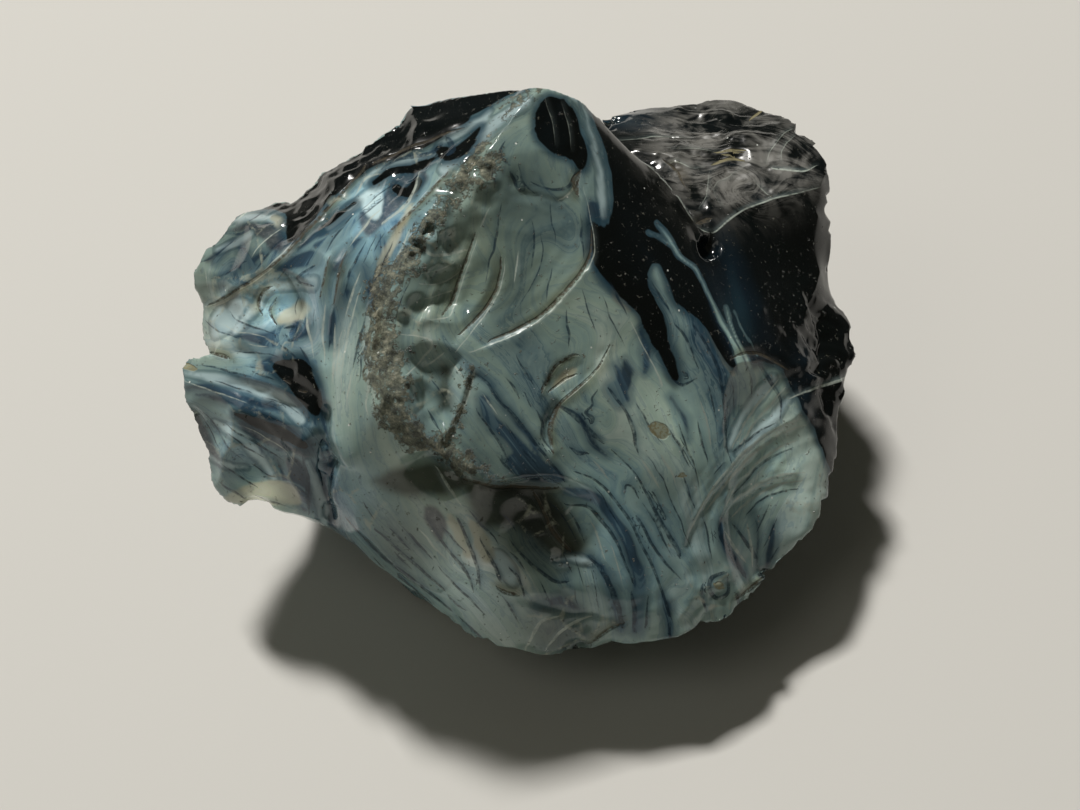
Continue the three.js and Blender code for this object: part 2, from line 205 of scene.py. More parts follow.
def points_along(a, b, step):
    """Points from a to b, about a step apart."""
    count = max(2, int((b - a).length / step))
    return [a.lerp(b, i / (count - 1)) for i in range(count)]


rim_points = []
shape = bmesh.new()
shape.from_mesh(lump.data)
for edge in shape.edges:
    if edge.is_manifold and edge.calc_face_angle() > SHARP_ANGLE:
        ends = [corner.co / MM for corner in edge.verts]
        rim_points += points_along(*ends, MARK_EVERY)
shape.free()

rims = kdtree.KDTree(len(rim_points))
for i, point in enumerate(rim_points):
    rims.insert(point, i)
rims.balance()
print("sharp edges are marked by", len(rim_points), "points")

# %% Remesh the copy
CELL = 0.68

remesh = lump.modifiers.new("Small squares", "REMESH")
remesh.mode = "VOXEL"
remesh.voxel_size = CELL * MM
remesh.use_smooth_shade = True
bpy.ops.object.modifier_apply(modifier=remesh.name)
print("remeshed:", len(lump.data.vertices), "points,", len(lump.data.polygons), "squares")

# %% Keep fewer squares on the sides that look away
TRIANGLES = 197000
LOOKS_AWAY = -0.12

to_eye = Vector(BOARD_OUT)
away = [corner.index for corner in lump.data.vertices if corner.normal @ to_eye < LOOKS_AWAY]
far_side = lump.vertex_groups.new(name="far_side")
far_side.add(away, 1, "REPLACE")
fewer = lump.modifiers.new("Fewer squares", "DECIMATE")
fewer.ratio = TRIANGLES / (2 * len(lump.data.polygons))
fewer.vertex_group = far_side.name
fewer.vertex_group_factor = 1000
bpy.ops.object.modifier_apply(modifier=fewer.name)
lump.vertex_groups.clear()
triangles = sum(len(face.vertices) - 2 for face in lump.data.polygons)
print("kept:", len(lump.data.vertices), "points,", triangles, "triangles")

# %% Read the mesh into arrays
def read_points(mesh):
    flat = np.empty(len(mesh.vertices) * 3, np.float32)
    mesh.vertices.foreach_get("co", flat)
    return flat.reshape(-1, 3).astype(float) / MM


def read_normals(mesh):
    flat = np.empty(len(mesh.vertices) * 3, np.float32)
    mesh.vertex_normals.foreach_get("vector", flat)
    return flat.reshape(-1, 3).astype(float)


def write_points(mesh, places):
    mesh.vertices.foreach_set("co", (places * MM).astype(np.float32).ravel())
    mesh.update()


skin = lump.data
points = read_points(skin)
ends = np.empty(len(skin.edges) * 2, np.int32)
skin.edges.foreach_get("vertices", ends)
ends = ends.reshape(-1, 2)
from_end = np.concatenate([ends[:, 0], ends[:, 1]])
to_end = np.concatenate([ends[:, 1], ends[:, 0]])
everywhere = np.ones(len(points))


def neighbour_mean(spots, weight=everywhere):
    """The mean spot of each point's neighbours, counted by their weight."""
    share = weight[to_end]
    total = np.bincount(from_end, share, len(weight))
    sums = [np.bincount(from_end, share * column[to_end], len(weight)) for column in spots.T]
    return np.array(sums).T / np.maximum(total, 1e-9)[:, None]


print("skin:", len(points), "points and", len(ends), "edges")

# %% [markdown]
# ## Rounded fractures, crisp rims
# Glass breaks in smooth curved shells that meet in sharp rims. Plain smoothing would melt the rims, and
# no smoothing would leave flat facets. So points near a sharp edge are only smoothed along that edge, which
# turns its corners into curves, and all others are smoothed freely.

# %% Smooth between the rims
RIM_WIDTH = 0.5
FREE_FROM = 2.6
ROUNDS = 230
RIM_ROUNDS = 40
SETTLE_ROUNDS = 2
FREE_PULL = 0.6
RIM_PULL = 0.45
SETTLE_PULL = 0.35
# Here the rims have melted away: (across, up, radius) on the board.
MELTED = [
    (15, -14, 8), (5, -22, 10), (-9, -14, 7), (-61, 44, 8), (-60, 6, 9), (-10, 58, 8), (-16, 44, 6),
    (-24, -8, 6), (-30, 5, 5), (56, 0, 8),
]


def smoothstep(low, high, values):
    """0 at low, 1 at high and a soft step between them."""
    t = np.clip((values - low) / (high - low), 0, 1)
    return t * t * (3 - 2 * t)


def drawn_in(points, share):
    """The points, each moved by this share of the way to the mean of its neighbours."""
    return points + (neighbour_mean(points) - points) * share[:, None]


rim_gap = np.array([rims.find(point)[2] for point in points.tolist()])
rim_weight = 0.03 + np.exp(-((rim_gap / RIM_WIDTH) ** 2))
free = smoothstep(RIM_WIDTH, FREE_FROM, rim_gap)
for melted in MELTED:
    free = np.maximum(free, patch(on_board(points), *melted, 2) * (points @ BOARD_OUT > 0))
flat_base = points[:, 2] < 0.5

for turn in range(ROUNDS):
    move = (neighbour_mean(points) - points) * (FREE_PULL * free)[:, None]
    if turn < RIM_ROUNDS:
        move += (neighbour_mean(points, rim_weight) - points) * (RIM_PULL * (1 - free))[:, None]
    move[flat_base] = 0
    points += move
for turn in range(SETTLE_ROUNDS):
    points = drawn_in(points, SETTLE_PULL * ~flat_base)
write_points(skin, points)
print("smoothed", len(points), "points,", int((free < 0.5).sum()), "of them near a rim")

# %% [markdown]
# ## Lines and outlines on the board
# The edge of a scar or the border of a ribbon is a free curve. It could be a curve object that is
# projected onto the glass. Here a few corners are joined by a smooth curve on the board, and each point
# of the skin is told how far off the curve it lies, and on which side.

# %% Draw smooth curves and measure the way to them
FAR_OFF = 99.0


def curve_through(corners, pieces=6, closed=False):
    """More places on a smooth curve through the corners. They may carry a width as well."""
    corners = np.array(corners, float)
    count = len(corners)
    around = np.arange(-1, count + 2)
    around = around % count if closed else np.clip(around, 0, count - 1)
    curve = []
    for i in range(count if closed else count - 1):
        before, a, b, after = corners[around[i:i + 4]]
        for t in np.arange(pieces) / pieces:
            pull = (b - before) * t + (2 * before - 5 * a + 4 * b - after) * t**2
            pull += (3 * a - before - 3 * b + after) * t**3
            curve.append(a + pull / 2)
    if not closed:
        curve.append(corners[-1])
    return np.array(curve)


def from_piece(places, a, b):
    """For each place: its gap to the straight piece from a to b, the way along the piece to the spot
    nearest to it, from 0 to 1, and on which side of the piece it lies, +1 left or -1 right."""
    run = b[:2] - a[:2]
    way = np.clip((places - a[:2]) @ run / max(run @ run, 1e-9), 0, 1)
    off = places - a[:2] - way[:, None] * run
    return np.hypot(off[:, 0], off[:, 1]), way, np.sign(run[0] * off[:, 1] - run[1] * off[:, 0])


def within_reach(places, curve, reach):
    """Which places lie in the curve's own box, made wider by the reach on all sides."""
    low = curve[:, :2].min(0) - reach
    high = curve[:, :2].max(0) + reach
    return np.nonzero(np.all((places > low) & (places < high), axis=1))[0]


def along_line(places, line, reach=8):
    """For each place: its gap to a drawn line, which side of it (+1 or -1), the way along from 0 to 1
    and the line's half width there. Places beyond the reach are far off."""
    curve = curve_through(line)
    near = within_reach(places, curve, reach)
    here = places[near]
    nearest = np.array([FAR_OFF, 1, 0, 0])[:, None] * np.ones(len(here))
    pieces = len(curve) - 1
    for i, (a, b) in enumerate(zip(curve, curve[1:])):
        gap, way, side = from_piece(here, a, b)
        width = a[2] + (b[2] - a[2]) * way if len(a) > 2 else 0 * way
        closer = gap < nearest[0]
        nearest[:, closer] = np.stack([gap, side, (i + way) / pieces, width])[:, closer]
    result = np.array([FAR_OFF, 1, 0, 0])[:, None] * np.ones(len(places))
    result[:, near] = nearest
    return result


def fading_ends(way, share):
    """0 at both ends of a line, 1 between them. Each end fades over this share of its length."""
    return smoothstep(0, share, way) * smoothstep(0, share, 1 - way)


print("a curve through 3 corners has", len(curve_through([(0, 0), (9, 4), (18, 0)])), "places")


# %% Measure how deep a place lies inside a mark
def inside_outline(places, corners):
    """How far inside a closed outline each place lies, in mm. It is negative outside."""
    curve = curve_through(corners, 4, closed=True)
    border = np.full(len(places), FAR_OFF)
    inside = np.zeros(len(places), bool)
    for a, b in zip(curve, np.roll(curve, -1, axis=0)):
        border = np.minimum(border, from_piece(places, a, b)[0])
        crosses = (a[1] > places[:, 1]) != (b[1] > places[:, 1])
        rise = b[1] - a[1] if abs(b[1] - a[1]) > 1e-9 else 1e-9
        inside ^= crosses & (places[:, 0] < a[0] + (places[:, 1] - a[1]) / rise * (b[0] - a[0]))
    return np.where(inside, border, -border)


def depth_in(places, marks, reach=8):
    """The greatest depth inside any of these marks, in mm. It is negative outside them, down to the
    reach. Strokes have a third number, their half width. Outlines have not."""
    depth = np.full(len(places), -float(reach))
    for mark in marks:
        if len(mark[0]) > 2:
            gap, _, _, width = along_line(places, mark, reach)
            depth = np.maximum(depth, width - gap)
        else:
            depth = np.maximum(depth, inside_outline(places, mark))
    return depth


OCTAGON = [(10 * math.cos(turn), 10 * math.sin(turn)) for turn in np.arange(8) * math.pi / 4]
print("the middle of a round mark lies", depth_in(np.zeros((1, 2)), [OCTAGON])[0].round(1), "mm deep")


# %% Make soft noise
def soft_noise(points, wavelength, shift=0.0):
    """Smooth noise between about -1 and 1. The shift picks another pattern."""
    scaled = points / wavelength + shift
    return np.array([noise.noise(place) for place in scaled.tolist()])


def soft_noises(points, wavelength, *shifts):
    """Several patterns of noise side by side, one for each shift."""
    return np.stack([soft_noise(points, wavelength, shift) for shift in shifts], axis=1)


places = on_board(points)
print("the board spans", places.min(0).round(), "to", places.max(0).round())

# %% [markdown]
# ## Waves, steps and grooves
# A shell-shaped fracture is never quite flat: it has slow waves, steps where the crack changed level,
# and fine cracks. They could be pressed in by a displacement modifier, but that needs an image. Here the
# height of each is worked out for every point, and all of them are added up. At the end the skin is
# moved once, along its own normals.

# %% Give the fractures slow waves
normals = read_normals(skin)
facing = smoothstep(0.02, 0.25, normals @ BOARD_OUT)
lift = 0.5 * soft_noise(points, 21) + 0.24 * soft_noise(points, 9, 3.7) + 0.08 * soft_noise(points, 4, 8.1)
lift *= 0.35 + 0.65 * free
print("waves up to", lift.max().round(2), "mm high")

# %% Cut steps where the crack changed level
GREAT_SCAR = [(12.5, 61), (14.5, 50), (14, 45), (9.5, 39), (3.5, 33), (-2.5, 29.5), (-7, 27.5), (-11, 26.5)]
SIDE_SCAR = [(-9.5, 50.5), (-11, 46), (-14, 37), (-15.5, 33.5), (-19, 33)]
POCKET_BRIM = [(12.5, 65.5), (11, 61), (8, 58), (3.5, 59), (-0.5, 60), (-3, 64)]
LEDGE_EDGE = [(61, -0.5), (52, -2.5), (44.5, -7), (41.5, -11.5)]
# Each step: the line, how much one side of it drops (a minus sign means its left side), and how far the
# drop reaches.
STEPS = [
    (GREAT_SCAR, -0.55, 12), (SIDE_SCAR, -0.6, 5), (POCKET_BRIM, 0.5, 3), (LEDGE_EDGE, 0.5, 6),
    ([(-4, 45.5), (-5, 39), (-9, 32.5), (-12, 30.5), (-14, 26.5)], -0.55, 6),
    ([(-5, 71.5), (-10.5, 64.5), (-12, 57.5)], -0.7, 3),
    ([(4, 18), (5.5, 21.5), (7.5, 24), (11.5, 25.5)], -0.7, 5),
    ([(18, 27.5), (14.5, 21.5), (8, 16), (5.5, 11), (6, 5.5)], -0.7, 6),
    ([(43.5, 17), (43, 9.5), (44, 3)], 0.5, 8),
    ([(61, 11), (51.5, 6.5), (42.5, -2), (36.5, -10), (34.5, -16.5)], 0.8, 9),
    ([(-7, 77.5), (-20, 71.5), (-31, 67.5), (-39.5, 62.5), (-45, 54), (-52.5, 45.5)], 0.9, 5),
    ([(47.5, 24.5), (52.5, 26), (58, 23)], 0.5, 4),
    ([(0, -26), (7.5, -29.5), (14.5, -30), (21, -31)], 0.8, 5),
    ([(0.5, -37.5), (2, -33.5), (4, -31), (7.5, -30)], 0.4, 3),
    ([(5, -37.5), (7.5, -34), (10.5, -31.5), (14, -30)], 0.4, 3),
    ([(-49.5, 49), (-55.5, 43.5), (-63, 38.5), (-69.5, 36.5)], 0.6, 4),
    ([(-10.5, 22), (-11.5, 18.5), (-14, 11.5), (-17, 6)], 0.9, 5),
    ([(-22, 66), (-32.5, 62.5), (-39.5, 59), (-45, 54)], 0.4, 4),
    ([(33, 78), (38, 77.5), (46, 78.5), (54, 80)], -0.7, 6),
    ([(31, 74), (36, 74), (43, 73), (52, 73.5)], -0.8, 5),
    ([(31, 70.5), (36.5, 69), (42, 69.5), (50, 68)], -0.6, 4),
    ([(52.5, 66.5), (55.5, 63), (58, 62)], -0.5, 4),
    ([(62, 41.5), (64, 36.5), (66.5, 30), (65, 23), (67, 15), (71, 6.5)], 0.9, 6),
    ([(58.5, 16.5), (64, 18.5), (70.5, 20.5), (74.5, 22)], 0.4, 4),
]

ragged = 0.45 + 0.55 * smoothstep(-0.35, 0.2, soft_noise(points, 5, 3.3))
for line, drop, reach in STEPS:
    gap, side, way, _ = along_line(places, line, reach)
    below = np.clip(1 - gap / reach, 0, 1) ** 2 * (side * np.sign(drop) > 0)
    lift -= abs(drop) * below * fading_ends(way, 0.15) * ragged * facing
print("cut", len(STEPS), "steps")

# %% Carve the crevices and raise the ribs
# Each line is (across, up, half width), and goes this deep. A negative depth raises a rib.
GROOVES = [
    ([(8, 16, 0.5), (6.5, 13, 0.8), (5.5, 10, 0.9), (6, 5.5, 0.6)], 0.9),
    ([(-41.5, 16, 0.8), (-43, 1, 1.4), (-42.5, -11, 1.2)], 1.8),
    ([(44, 69, 0.5), (42, 64, 0.7), (41, 59, 0.6), (44, 58, 0.6), (48.5, 59.5, 0.5)], -0.6),
    ([(47, 68, 0.5), (45.5, 64, 0.6), (47, 62, 0.5), (51, 63, 0.4)], -0.45),
    ([(-48.5, 50.5, 0.5), (-52, 45.5, 0.5), (-67.5, 37, 0.4)], -0.4),
    ([(-15, -8, 0.5), (-12, -14, 0.7), (-9, -20, 0.4)], -0.3),
    ([(6, -18.3, 0.4), (10, -17.8, 0.8), (14, -18, 0.4)], -0.6),
    ([(-36, 50, 0.6), (-40, 40, 0.8), (-42, 28, 0.6)], 0.5),
    ([(-30, 46, 0.5), (-33, 34, 0.7), (-33, 22, 0.5)], 0.4),
    ([(4.5, 80, 0.3), (6, 75, 0.5), (6, 70, 0.3)], -0.4),
    ([(8, 79, 0.3), (9.5, 74, 0.4), (9.5, 69, 0.3)], -0.35),
    ([(11.5, 75, 0.3), (12, 70, 0.4), (11.3, 66, 0.3)], 0.4),
    ([(-62, 27, 0.8), (-55, 24, 1), (-47, 22, 0.8)], 0.8),
]
# Each pocket: (across, up, radius, depth). A negative depth is a bead. A deep one has a raised brim.
BRIM_HEIGHT = 0.35
DEEP = 1.5
POCKETS = [
    (40.5, 49.5, 2.7, 2.2), (40.5, 53.4, 1.2, -0.9), (-19.5, 51, 1.6, 1.6), (-22, 48, 1.1, 1.3),
    (42, -23.7, 0.9, -0.5), (-49, 30.5, 1.2, 0.5),
]

for line, depth in GROOVES:
    gap, _, way, width = along_line(places, line, 5)
    lift -= depth * np.exp(-((gap / (width + 0.3)) ** 2)) * fading_ends(way, 0.12) * facing
for pocket_across, pocket_up, radius, depth in POCKETS:
    gap = np.hypot(places[:, 0] - pocket_across, places[:, 1] - pocket_up) / radius
    lift -= depth * np.sqrt(np.clip(1 - gap**2, 0, 1)) * facing
    if depth > DEEP:
        lift += BRIM_HEIGHT * np.exp(-(((gap - 1.15) / 0.15) ** 2)) * facing
print("carved", len(GROOVES), "lines and", len(POCKETS), "pockets and beads")

# %% [markdown]
# ## Ripples
# Where a crack ran fast it left rings around the place that was struck. They could be turned on a lathe
# and cut off the solid, as the large ones were. Here they are waves that run out from a centre, with
# sharp crests, and they fade in places, as real ones do.

# %% Roll the large ripples out from where each blow fell
# Each fan: centre on the skin, nearest and furthest ring, ring spacing and ring height, all in mm, in
# the lump's own x, y and z.
FANS = [
    ((68, -36, 26), 14, 44, 4.2, 0.16), ((-5, 30, 92), 22, 46, 5.0, 0.10),
    ((-60, -28, 38), 8, 30, 3.4, 0.10), ((0, -66, 22), 10, 34, 4.0, 0.12),
    ((-14, 50, 58), 6, 40, 3.6, 0.22), ((40, 64, 46), 8, 34, 3.8, 0.20),
    ((-60, 24, 40), 8, 36, 4.0, 0.20), ((70, 20, 26), 8, 36, 4.0, 0.18),
    ((-30, -46, 14), 6, 30, 3.4, 0.16), ((30, -50, 10), 6, 30, 3.6, 0.16),
]


def zigzag(distance, spacing):
    """1 after every whole number of spacings, and 0 halfway between them."""
    return np.abs(np.modf(distance / spacing)[0] * 2 - 1)


def rings(distance, spacing):
    """Ripples from -1 to 1 with sharp crests."""
    return 1 - 2 * np.sqrt(zigzag(distance, spacing))


for centre, nearest, furthest, spacing, height in FANS:
    radius = np.linalg.norm(points - np.array(centre), axis=1) + 0.5 * soft_noise(points, 12, spacing)
    fade = smoothstep(nearest - 2, nearest + 2, radius) * smoothstep(0, 8, furthest - radius)
    patchy = smoothstep(-0.25, 0.3, soft_noise(points, 26, centre[0]))
    lift += height * rings(radius, spacing) * fade * patchy * free
print("rolled out", len(FANS), "fans")

# %% Draw the shoulder's fine fan, and roughen the broken ledges
FAN_ACROSS = 69
FAN_UP = 69.5
FAN_SPACING = 1.9
FAN_HEIGHT = 0.22
FAN_NEAREST = 2.5
FAN_FURTHEST = 17
FAN_BOTTOM = 66

gap = np.hypot(places[:, 0] - FAN_ACROSS, places[:, 1] - FAN_UP) + 0.4 * soft_noise(points, 7, 1.7)
in_fan = smoothstep(FAN_NEAREST, FAN_NEAREST + 1.5, gap) * smoothstep(FAN_FURTHEST, FAN_FURTHEST - 3, gap)
in_fan *= smoothstep(FAN_BOTTOM, FAN_BOTTOM + 2, places[:, 1])
lift += FAN_HEIGHT * (1 - 2 * zigzag(gap, FAN_SPACING)) * in_fan * facing
# Each rough patch: (across, up, radius, height of the roughness, its size).
ROUGH = [
    (44, 76, 16, 0.5, 5), (36, 72, 10, 0.4, 3), (1, 79, 5, 0.6, 2), (70, 24, 12, 0.35, 4),
    (-40, 66, 12, 0.7, 4), (-30, 70, 9, 0.5, 3), (-50, 57, 8, 0.5, 3), (56, 64, 8, 0.4, 3),
    (42, -27, 8, 0.5, 3), (22, -33, 8, 0.4, 3), (-20, 58, 9, 0.6, 3), (66, -8, 6, 0.4, 2.5),
    (-7, 60, 6, 0.4, 3.5),
]
# The weight that is left at two radii, where a patch ends.
ROUGH_END = math.exp(-(2**2))
for *area, height, size in ROUGH:
    weight = patch(places, *area)
    near = (weight > ROUGH_END) & (facing > 0)
    broken = 1 - 2 * np.abs(soft_noise(points[near], size, 0.5 * area[2]))
    lift[near] += 0.8 * height * (broken - 0.6) * (weight * facing)[near]
print("roughened", len(ROUGH), "patches")

# %% Leave terraces where the crack climbed in small jumps
# Each patch of them: (across, up, radius, spacing, height, slant).
TERRACES = [(44, 77, 14, 3.1, 0.75, 0.12), (-38, 66, 10, 2.6, 0.5, -0.55), (66, 30, 10, 4.0, 0.5, 0.8)]
for *area, spacing, height, slant in TERRACES:
    climb = (places[:, 1] + slant * places[:, 0] + 1.6 * soft_noise(points, 11, 4.1)) / spacing
    lift += height * (climb % 1 - 0.5) * patch(places, *area, 2) * facing
print("left", len(TERRACES), "patches of terraces")

# %% Echo the edges of the scars
# Each echo: the line it follows, on which side (+1 left of it, -1 right, 0 both), spacing, height, reach.
ECHOES = [
    ([(61, 11), (56, 9.5), (47, 3), (39.5, -6), (34.5, -16.5)], 0, 1.7, 0.15, 8),
    (LEDGE_EDGE, 0, 1.6, 0.13, 6), (GREAT_SCAR[:-1], -1, 2.8, 0.24, 14), (SIDE_SCAR, -1, 1.9, 0.2, 11),
    (POCKET_BRIM[:-1], 0, 1.8, 0.14, 5),
    ([(-4, 45.5), (-5, 39), (-9, 32.5), (-14, 26.5)], -1, 1.8, 0.14, 6),
    ([(53.5, 70), (54.5, 73.5), (57, 76.5), (60, 79), (64, 80.5)], -1, 1.9, 0.16, 9),
]
for line, echo_side, spacing, height, reach in ECHOES:
    gap, side, way, _ = along_line(places, line, reach)
    fade = fading_ends(way, 0.2) * np.clip(1 - gap / reach, 0, 1)
    if echo_side:
        fade *= side == echo_side
    lift += height * rings(gap + 0.5 * soft_noise(points, 7, spacing), spacing) * fade * facing
print("echoed", len(ECHOES), "edges")

# %% [markdown]
# ## Shells
# Where many small blows fell, each took out a shallow shell, and the shells meet in sharp crests. They
# could be cut out one by one with balls. Here middles are scattered over the place. Each point lies in
# the shell whose middle is nearest, and a shell's floor rises with the square of the distance.

# %% Break the rough places into shells
# Each patch: (across, up, radius, how many shells, depth).
SHELLS = [
    (-19, 47, 7, 9, 1.1), (-22, 34, 6, 8, 1.1), (-20, 18, 7, 9, 1.0), (-11, 60, 6, 6, 0.8),
    (-60, 46, 13, 9, 1.6), (-64, 33, 8, 6, 0.9), (-58, 3, 16, 12, 1.6), (-46, 61, 10, 9, 1.1),
    (70, 25, 13, 9, 1.2), (66, -6, 10, 9, 0.8), (10, -35, 12, 9, 0.7), (4, -10, 9, 7, 1.1),
    (-36, -6, 8, 6, 0.6), (44, 75, 16, 16, 1.3), (40, -27, 9, 8, 0.6), (-50, 24, 9, 7, 0.9),
    (-26, 72, 10, 9, 0.9),
]
# The weight that is left at 1.7 radii, where a patch ends.
SHELLS_END = math.exp(-(1.7**4))
rng = np.random.default_rng(5)


def shelled(places, middles, size):
    """How far the floor of the nearest shell has risen here, -0.5 to 1, and how near its crest is."""
    gaps = np.sort(np.linalg.norm(places[:, None] - middles[None], axis=2), axis=1)
    return np.clip((gaps[:, 0] / size) ** 2, 0, 1.5) - 0.5, 1 - smoothstep(0, 1.1, gaps[:, 1] - gaps[:, 0])


crest = np.zeros(len(points))
for patch_across, patch_up, radius, count, depth in SHELLS:
    angles = 2 * math.pi * rng.random(count)
    away = 1.2 * radius * np.sqrt(rng.random(count))
    middles = np.stack([patch_across + away * np.cos(angles), patch_up + away * np.sin(angles)], axis=1)
    weight = patch(places, patch_across, patch_up, radius, 2)
    near = np.nonzero((weight > SHELLS_END) & (facing > 0))[0]
    weight = (weight * facing)[near]
    here = places[near] + 0.8 * soft_noises(points[near], 5, 2.7, 8.7)
    rise, near_crest = shelled(here, middles, 1.25 * radius / math.sqrt(count))
    lift[near] += depth * rise * weight
    crest[near] = np.maximum(crest[near], near_crest * weight)
print("crests cover", round(100 * (crest > 0.3).mean(), 1), "% of the skin")

# %% Scatter the middles of the large shells on the hidden sides
SHELL_ROOM = 10.5
CANDIDATES = 5000

behind = np.nonzero((facing < 1) & (points[:, 2] > 1))[0]
middles = np.empty((0, 3))
for candidate in points[rng.permutation(behind)[:CANDIDATES]]:
    if not len(middles) or np.linalg.norm(middles - candidate, axis=1).min() > SHELL_ROOM:
        middles = np.vstack([middles, candidate])
print(len(middles), "large shells behind, on", len(behind), "points")

# %% Break the hidden sides into them
# Each shell has its own size, is drawn out one way, and rings run through it from where its blow fell.
SHELL_SLOPE = 0.15
RINGED_SHARE = 0.6
RING_HEIGHT = 0.17

here = points[behind] + 1.5 * soft_noises(points[behind], 9, 6.6, 7.6, 8.6)
floors = np.full((2, len(behind)), FAR_OFF)
ripple = np.zeros(len(behind))
for middle in middles:
    size = 9 + 9 * rng.random()
    longways = rng.normal(size=3)
    longways /= np.linalg.norm(longways)
    spacing = 2.6 + 1.6 * rng.random()
    height = RING_HEIGHT * (rng.random() < RINGED_SHARE)
    off = here - middle
    gap_squared = (off**2).sum(axis=1) - 0.5 * (off @ longways) ** 2
    shell_floor = SHELL_SLOPE * size * (gap_squared / size**2 - 1)
    from_blow = np.linalg.norm(off - size * longways, axis=1)
    lowest = shell_floor < floors[0]
    floors[1] = np.where(lowest, floors[0], np.minimum(floors[1], shell_floor))
    floors[0] = np.where(lowest, shell_floor, floors[0])
    ripple = np.where(lowest, height * rings(from_blow, spacing), ripple)
near_crest = 1 - smoothstep(0, 0.5, floors[1] - floors[0])
# The peak and the bottom edge stay as they are.
height_here = points[behind, 2]
unseen = (1 - facing[behind]) * smoothstep(100, 88, height_here) * smoothstep(1, 6, height_here)
lift[behind] += (np.minimum(floors[0], 0.4) + ripple * (1 - near_crest)) * unseen
crest[behind] = np.maximum(crest[behind], near_crest * unseen)
print("crests cover", round(100 * (crest > 0.3).mean(), 1), "% of the skin")

# %% Comb the left column, whose glass was drawn out in fibres
COMB_WAY = np.array((-0.42, -0.91))
COMB_ACROSS = np.array((COMB_WAY[1], -COMB_WAY[0]))
COMB_STRETCH = 9
COMB_HEIGHT = 0.16

combed = np.stack([places @ COMB_ACROSS, places @ COMB_WAY / COMB_STRETCH, np.zeros(len(places))], axis=1)
fibres = COMB_HEIGHT * soft_noise(combed, 1.5, 3.9) * patch(places, -33, 40, 17) * facing
lift += fibres
print("fibres up to", fibres.max().round(2), "mm high")

# %% [markdown]
# ## Crust and nicks
# The left ridge never broke cleanly: it is a rough brown crust, full of holes. And every sharp rim has
# lost small flakes. Both could be sculpted by hand. Here noise roughens the skin along the ridge, and
# the flakes are cut where the skin stands proud at a sharp edge.

# %% Roughen the crusted ridge
RIDGE = [
    (3.5, 82.5, 0.4), (-1, 79, 0.5), (-5, 74.5, 0.6), (-9.5, 68, 0.9), (-14, 61.5, 1.2), (-18, 55, 1.8),
    (-22, 49, 2), (-26, 43, 2.6), (-28.5, 37, 3.2), (-28.5, 30, 3.6), (-27.5, 20, 4.2), (-26, 13, 4),
    (-21, 8, 2.6),
]
DIRTY_RIM = [(-10.5, 22, 0.5), (-12.5, 15, 0.6), (-15, 9, 1.2), (-18, 6, 1.6), (-13, 3, 1.4), (-6, 0, 1)]
SCAR_CRUST = [(-13, 57, 2), (-9, 62, 2), (-6, 66, 1.6)]

rough = 0.5 * soft_noise(points, 2.8, 1.3) + 0.4 * soft_noise(points, 1.5, 5.9)
ridge_depth = depth_in(places, [RIDGE, DIRTY_RIM, SCAR_CRUST])
ridge_depth += 2.3 * soft_noise(points, 7, 2.2) + 2.0 * soft_noise(points, 2.2, 6.2) - 0.25
crust = smoothstep(-2.6, 2.4, ridge_depth) * facing
holes = smoothstep(0.2, 0.55, soft_noise(points, 3.6, 9.4)) * smoothstep(0, 1.5, ridge_depth)
lift += crust**1.5 * (1.1 * rough - 0.6 * holes)
print("crust covers", round(100 * crust.mean(), 1), "% of the skin")

# %% Move the skin
SOFTEN_ROUNDS = 2
SOFTEN_PULL = 0.4

lift[flat_base] = 0
points += normals * lift[:, None]
for turn in range(SOFTEN_ROUNDS):
    points = drawn_in(points, SOFTEN_PULL * (1 - 0.6 * crust) * ~flat_base)
points[:, 2] = np.maximum(points[:, 2], 0)
write_points(skin, points)
print("lift from", round(lift.min(), 2), "to", round(lift.max(), 2), "mm")

# %% Break small flakes off the rims
# Each flake is cut by a small tilted plane, where a sharp edge stands proud of its surroundings.
FLAKES = 240
PROUD_ROUNDS = 8
LEAST_PROUD = 0.3
RIM_REACH = 1.2
FLAKES_FROM = 2
FLAKES_TO = 96
rng = np.random.default_rng(7)


def standing_proud(rounds):
    """How far each point stands out from the mean of its surroundings, in mm. More rounds take in
    wider surroundings."""
    mean_spot = points
    for turn in range(rounds):
        mean_spot = neighbour_mean(mean_spot)
    return ((points - mean_spot) * normals).sum(axis=1)


normals = read_normals(skin)
can_break = (standing_proud(PROUD_ROUNDS) > LEAST_PROUD) & (rim_gap < RIM_REACH) & (crust < 0.5)
can_break &= (points[:, 2] > FLAKES_FROM) & (points[:, 2] <= FLAKES_TO)
can_break = np.nonzero(can_break)[0]
finder = kdtree.KDTree(len(points))
for i, point in enumerate(points.tolist()):
    finder.insert(point, i)
finder.balance()
for chosen in rng.choice(can_break, FLAKES, replace=False):
    size = 1.2 + 3.2 * rng.random() ** 2
    tilt = normals[chosen] + 0.4 * rng.normal(size=3)
    tilt /= np.linalg.norm(tilt)
    corner = points[chosen] - tilt * 0.17 * size
    for _, i, gap in finder.find_range(points[chosen], size):
        height = (points[i] - corner) @ tilt
        if height > 0:
            points[i] -= tilt * height * min(1, 3 * (1 - gap / size))
print("rims lost", FLAKES, "flakes, out of", len(can_break), "places")

# %% Take the spikes off
# Where two cuts nearly met they left thin spikes. A point that stands far off the mean of its neighbours
# is drawn in to it.
SPIKE_ROUNDS = 8
SPIKE_PULL = 0.7

for turn in range(SPIKE_ROUNDS):
    stands_off = np.linalg.norm(points - neighbour_mean(points), axis=1)
    points = drawn_in(points, SPIKE_PULL * smoothstep(0.45, 0.9, stands_off) * ~flat_base)
points[flat_base, 2] = 0
points[:, 2] = np.maximum(points[:, 2], 0)
write_points(skin, points)
print("now points stand off by at most", stands_off[~flat_base].max().round(2), "mm")

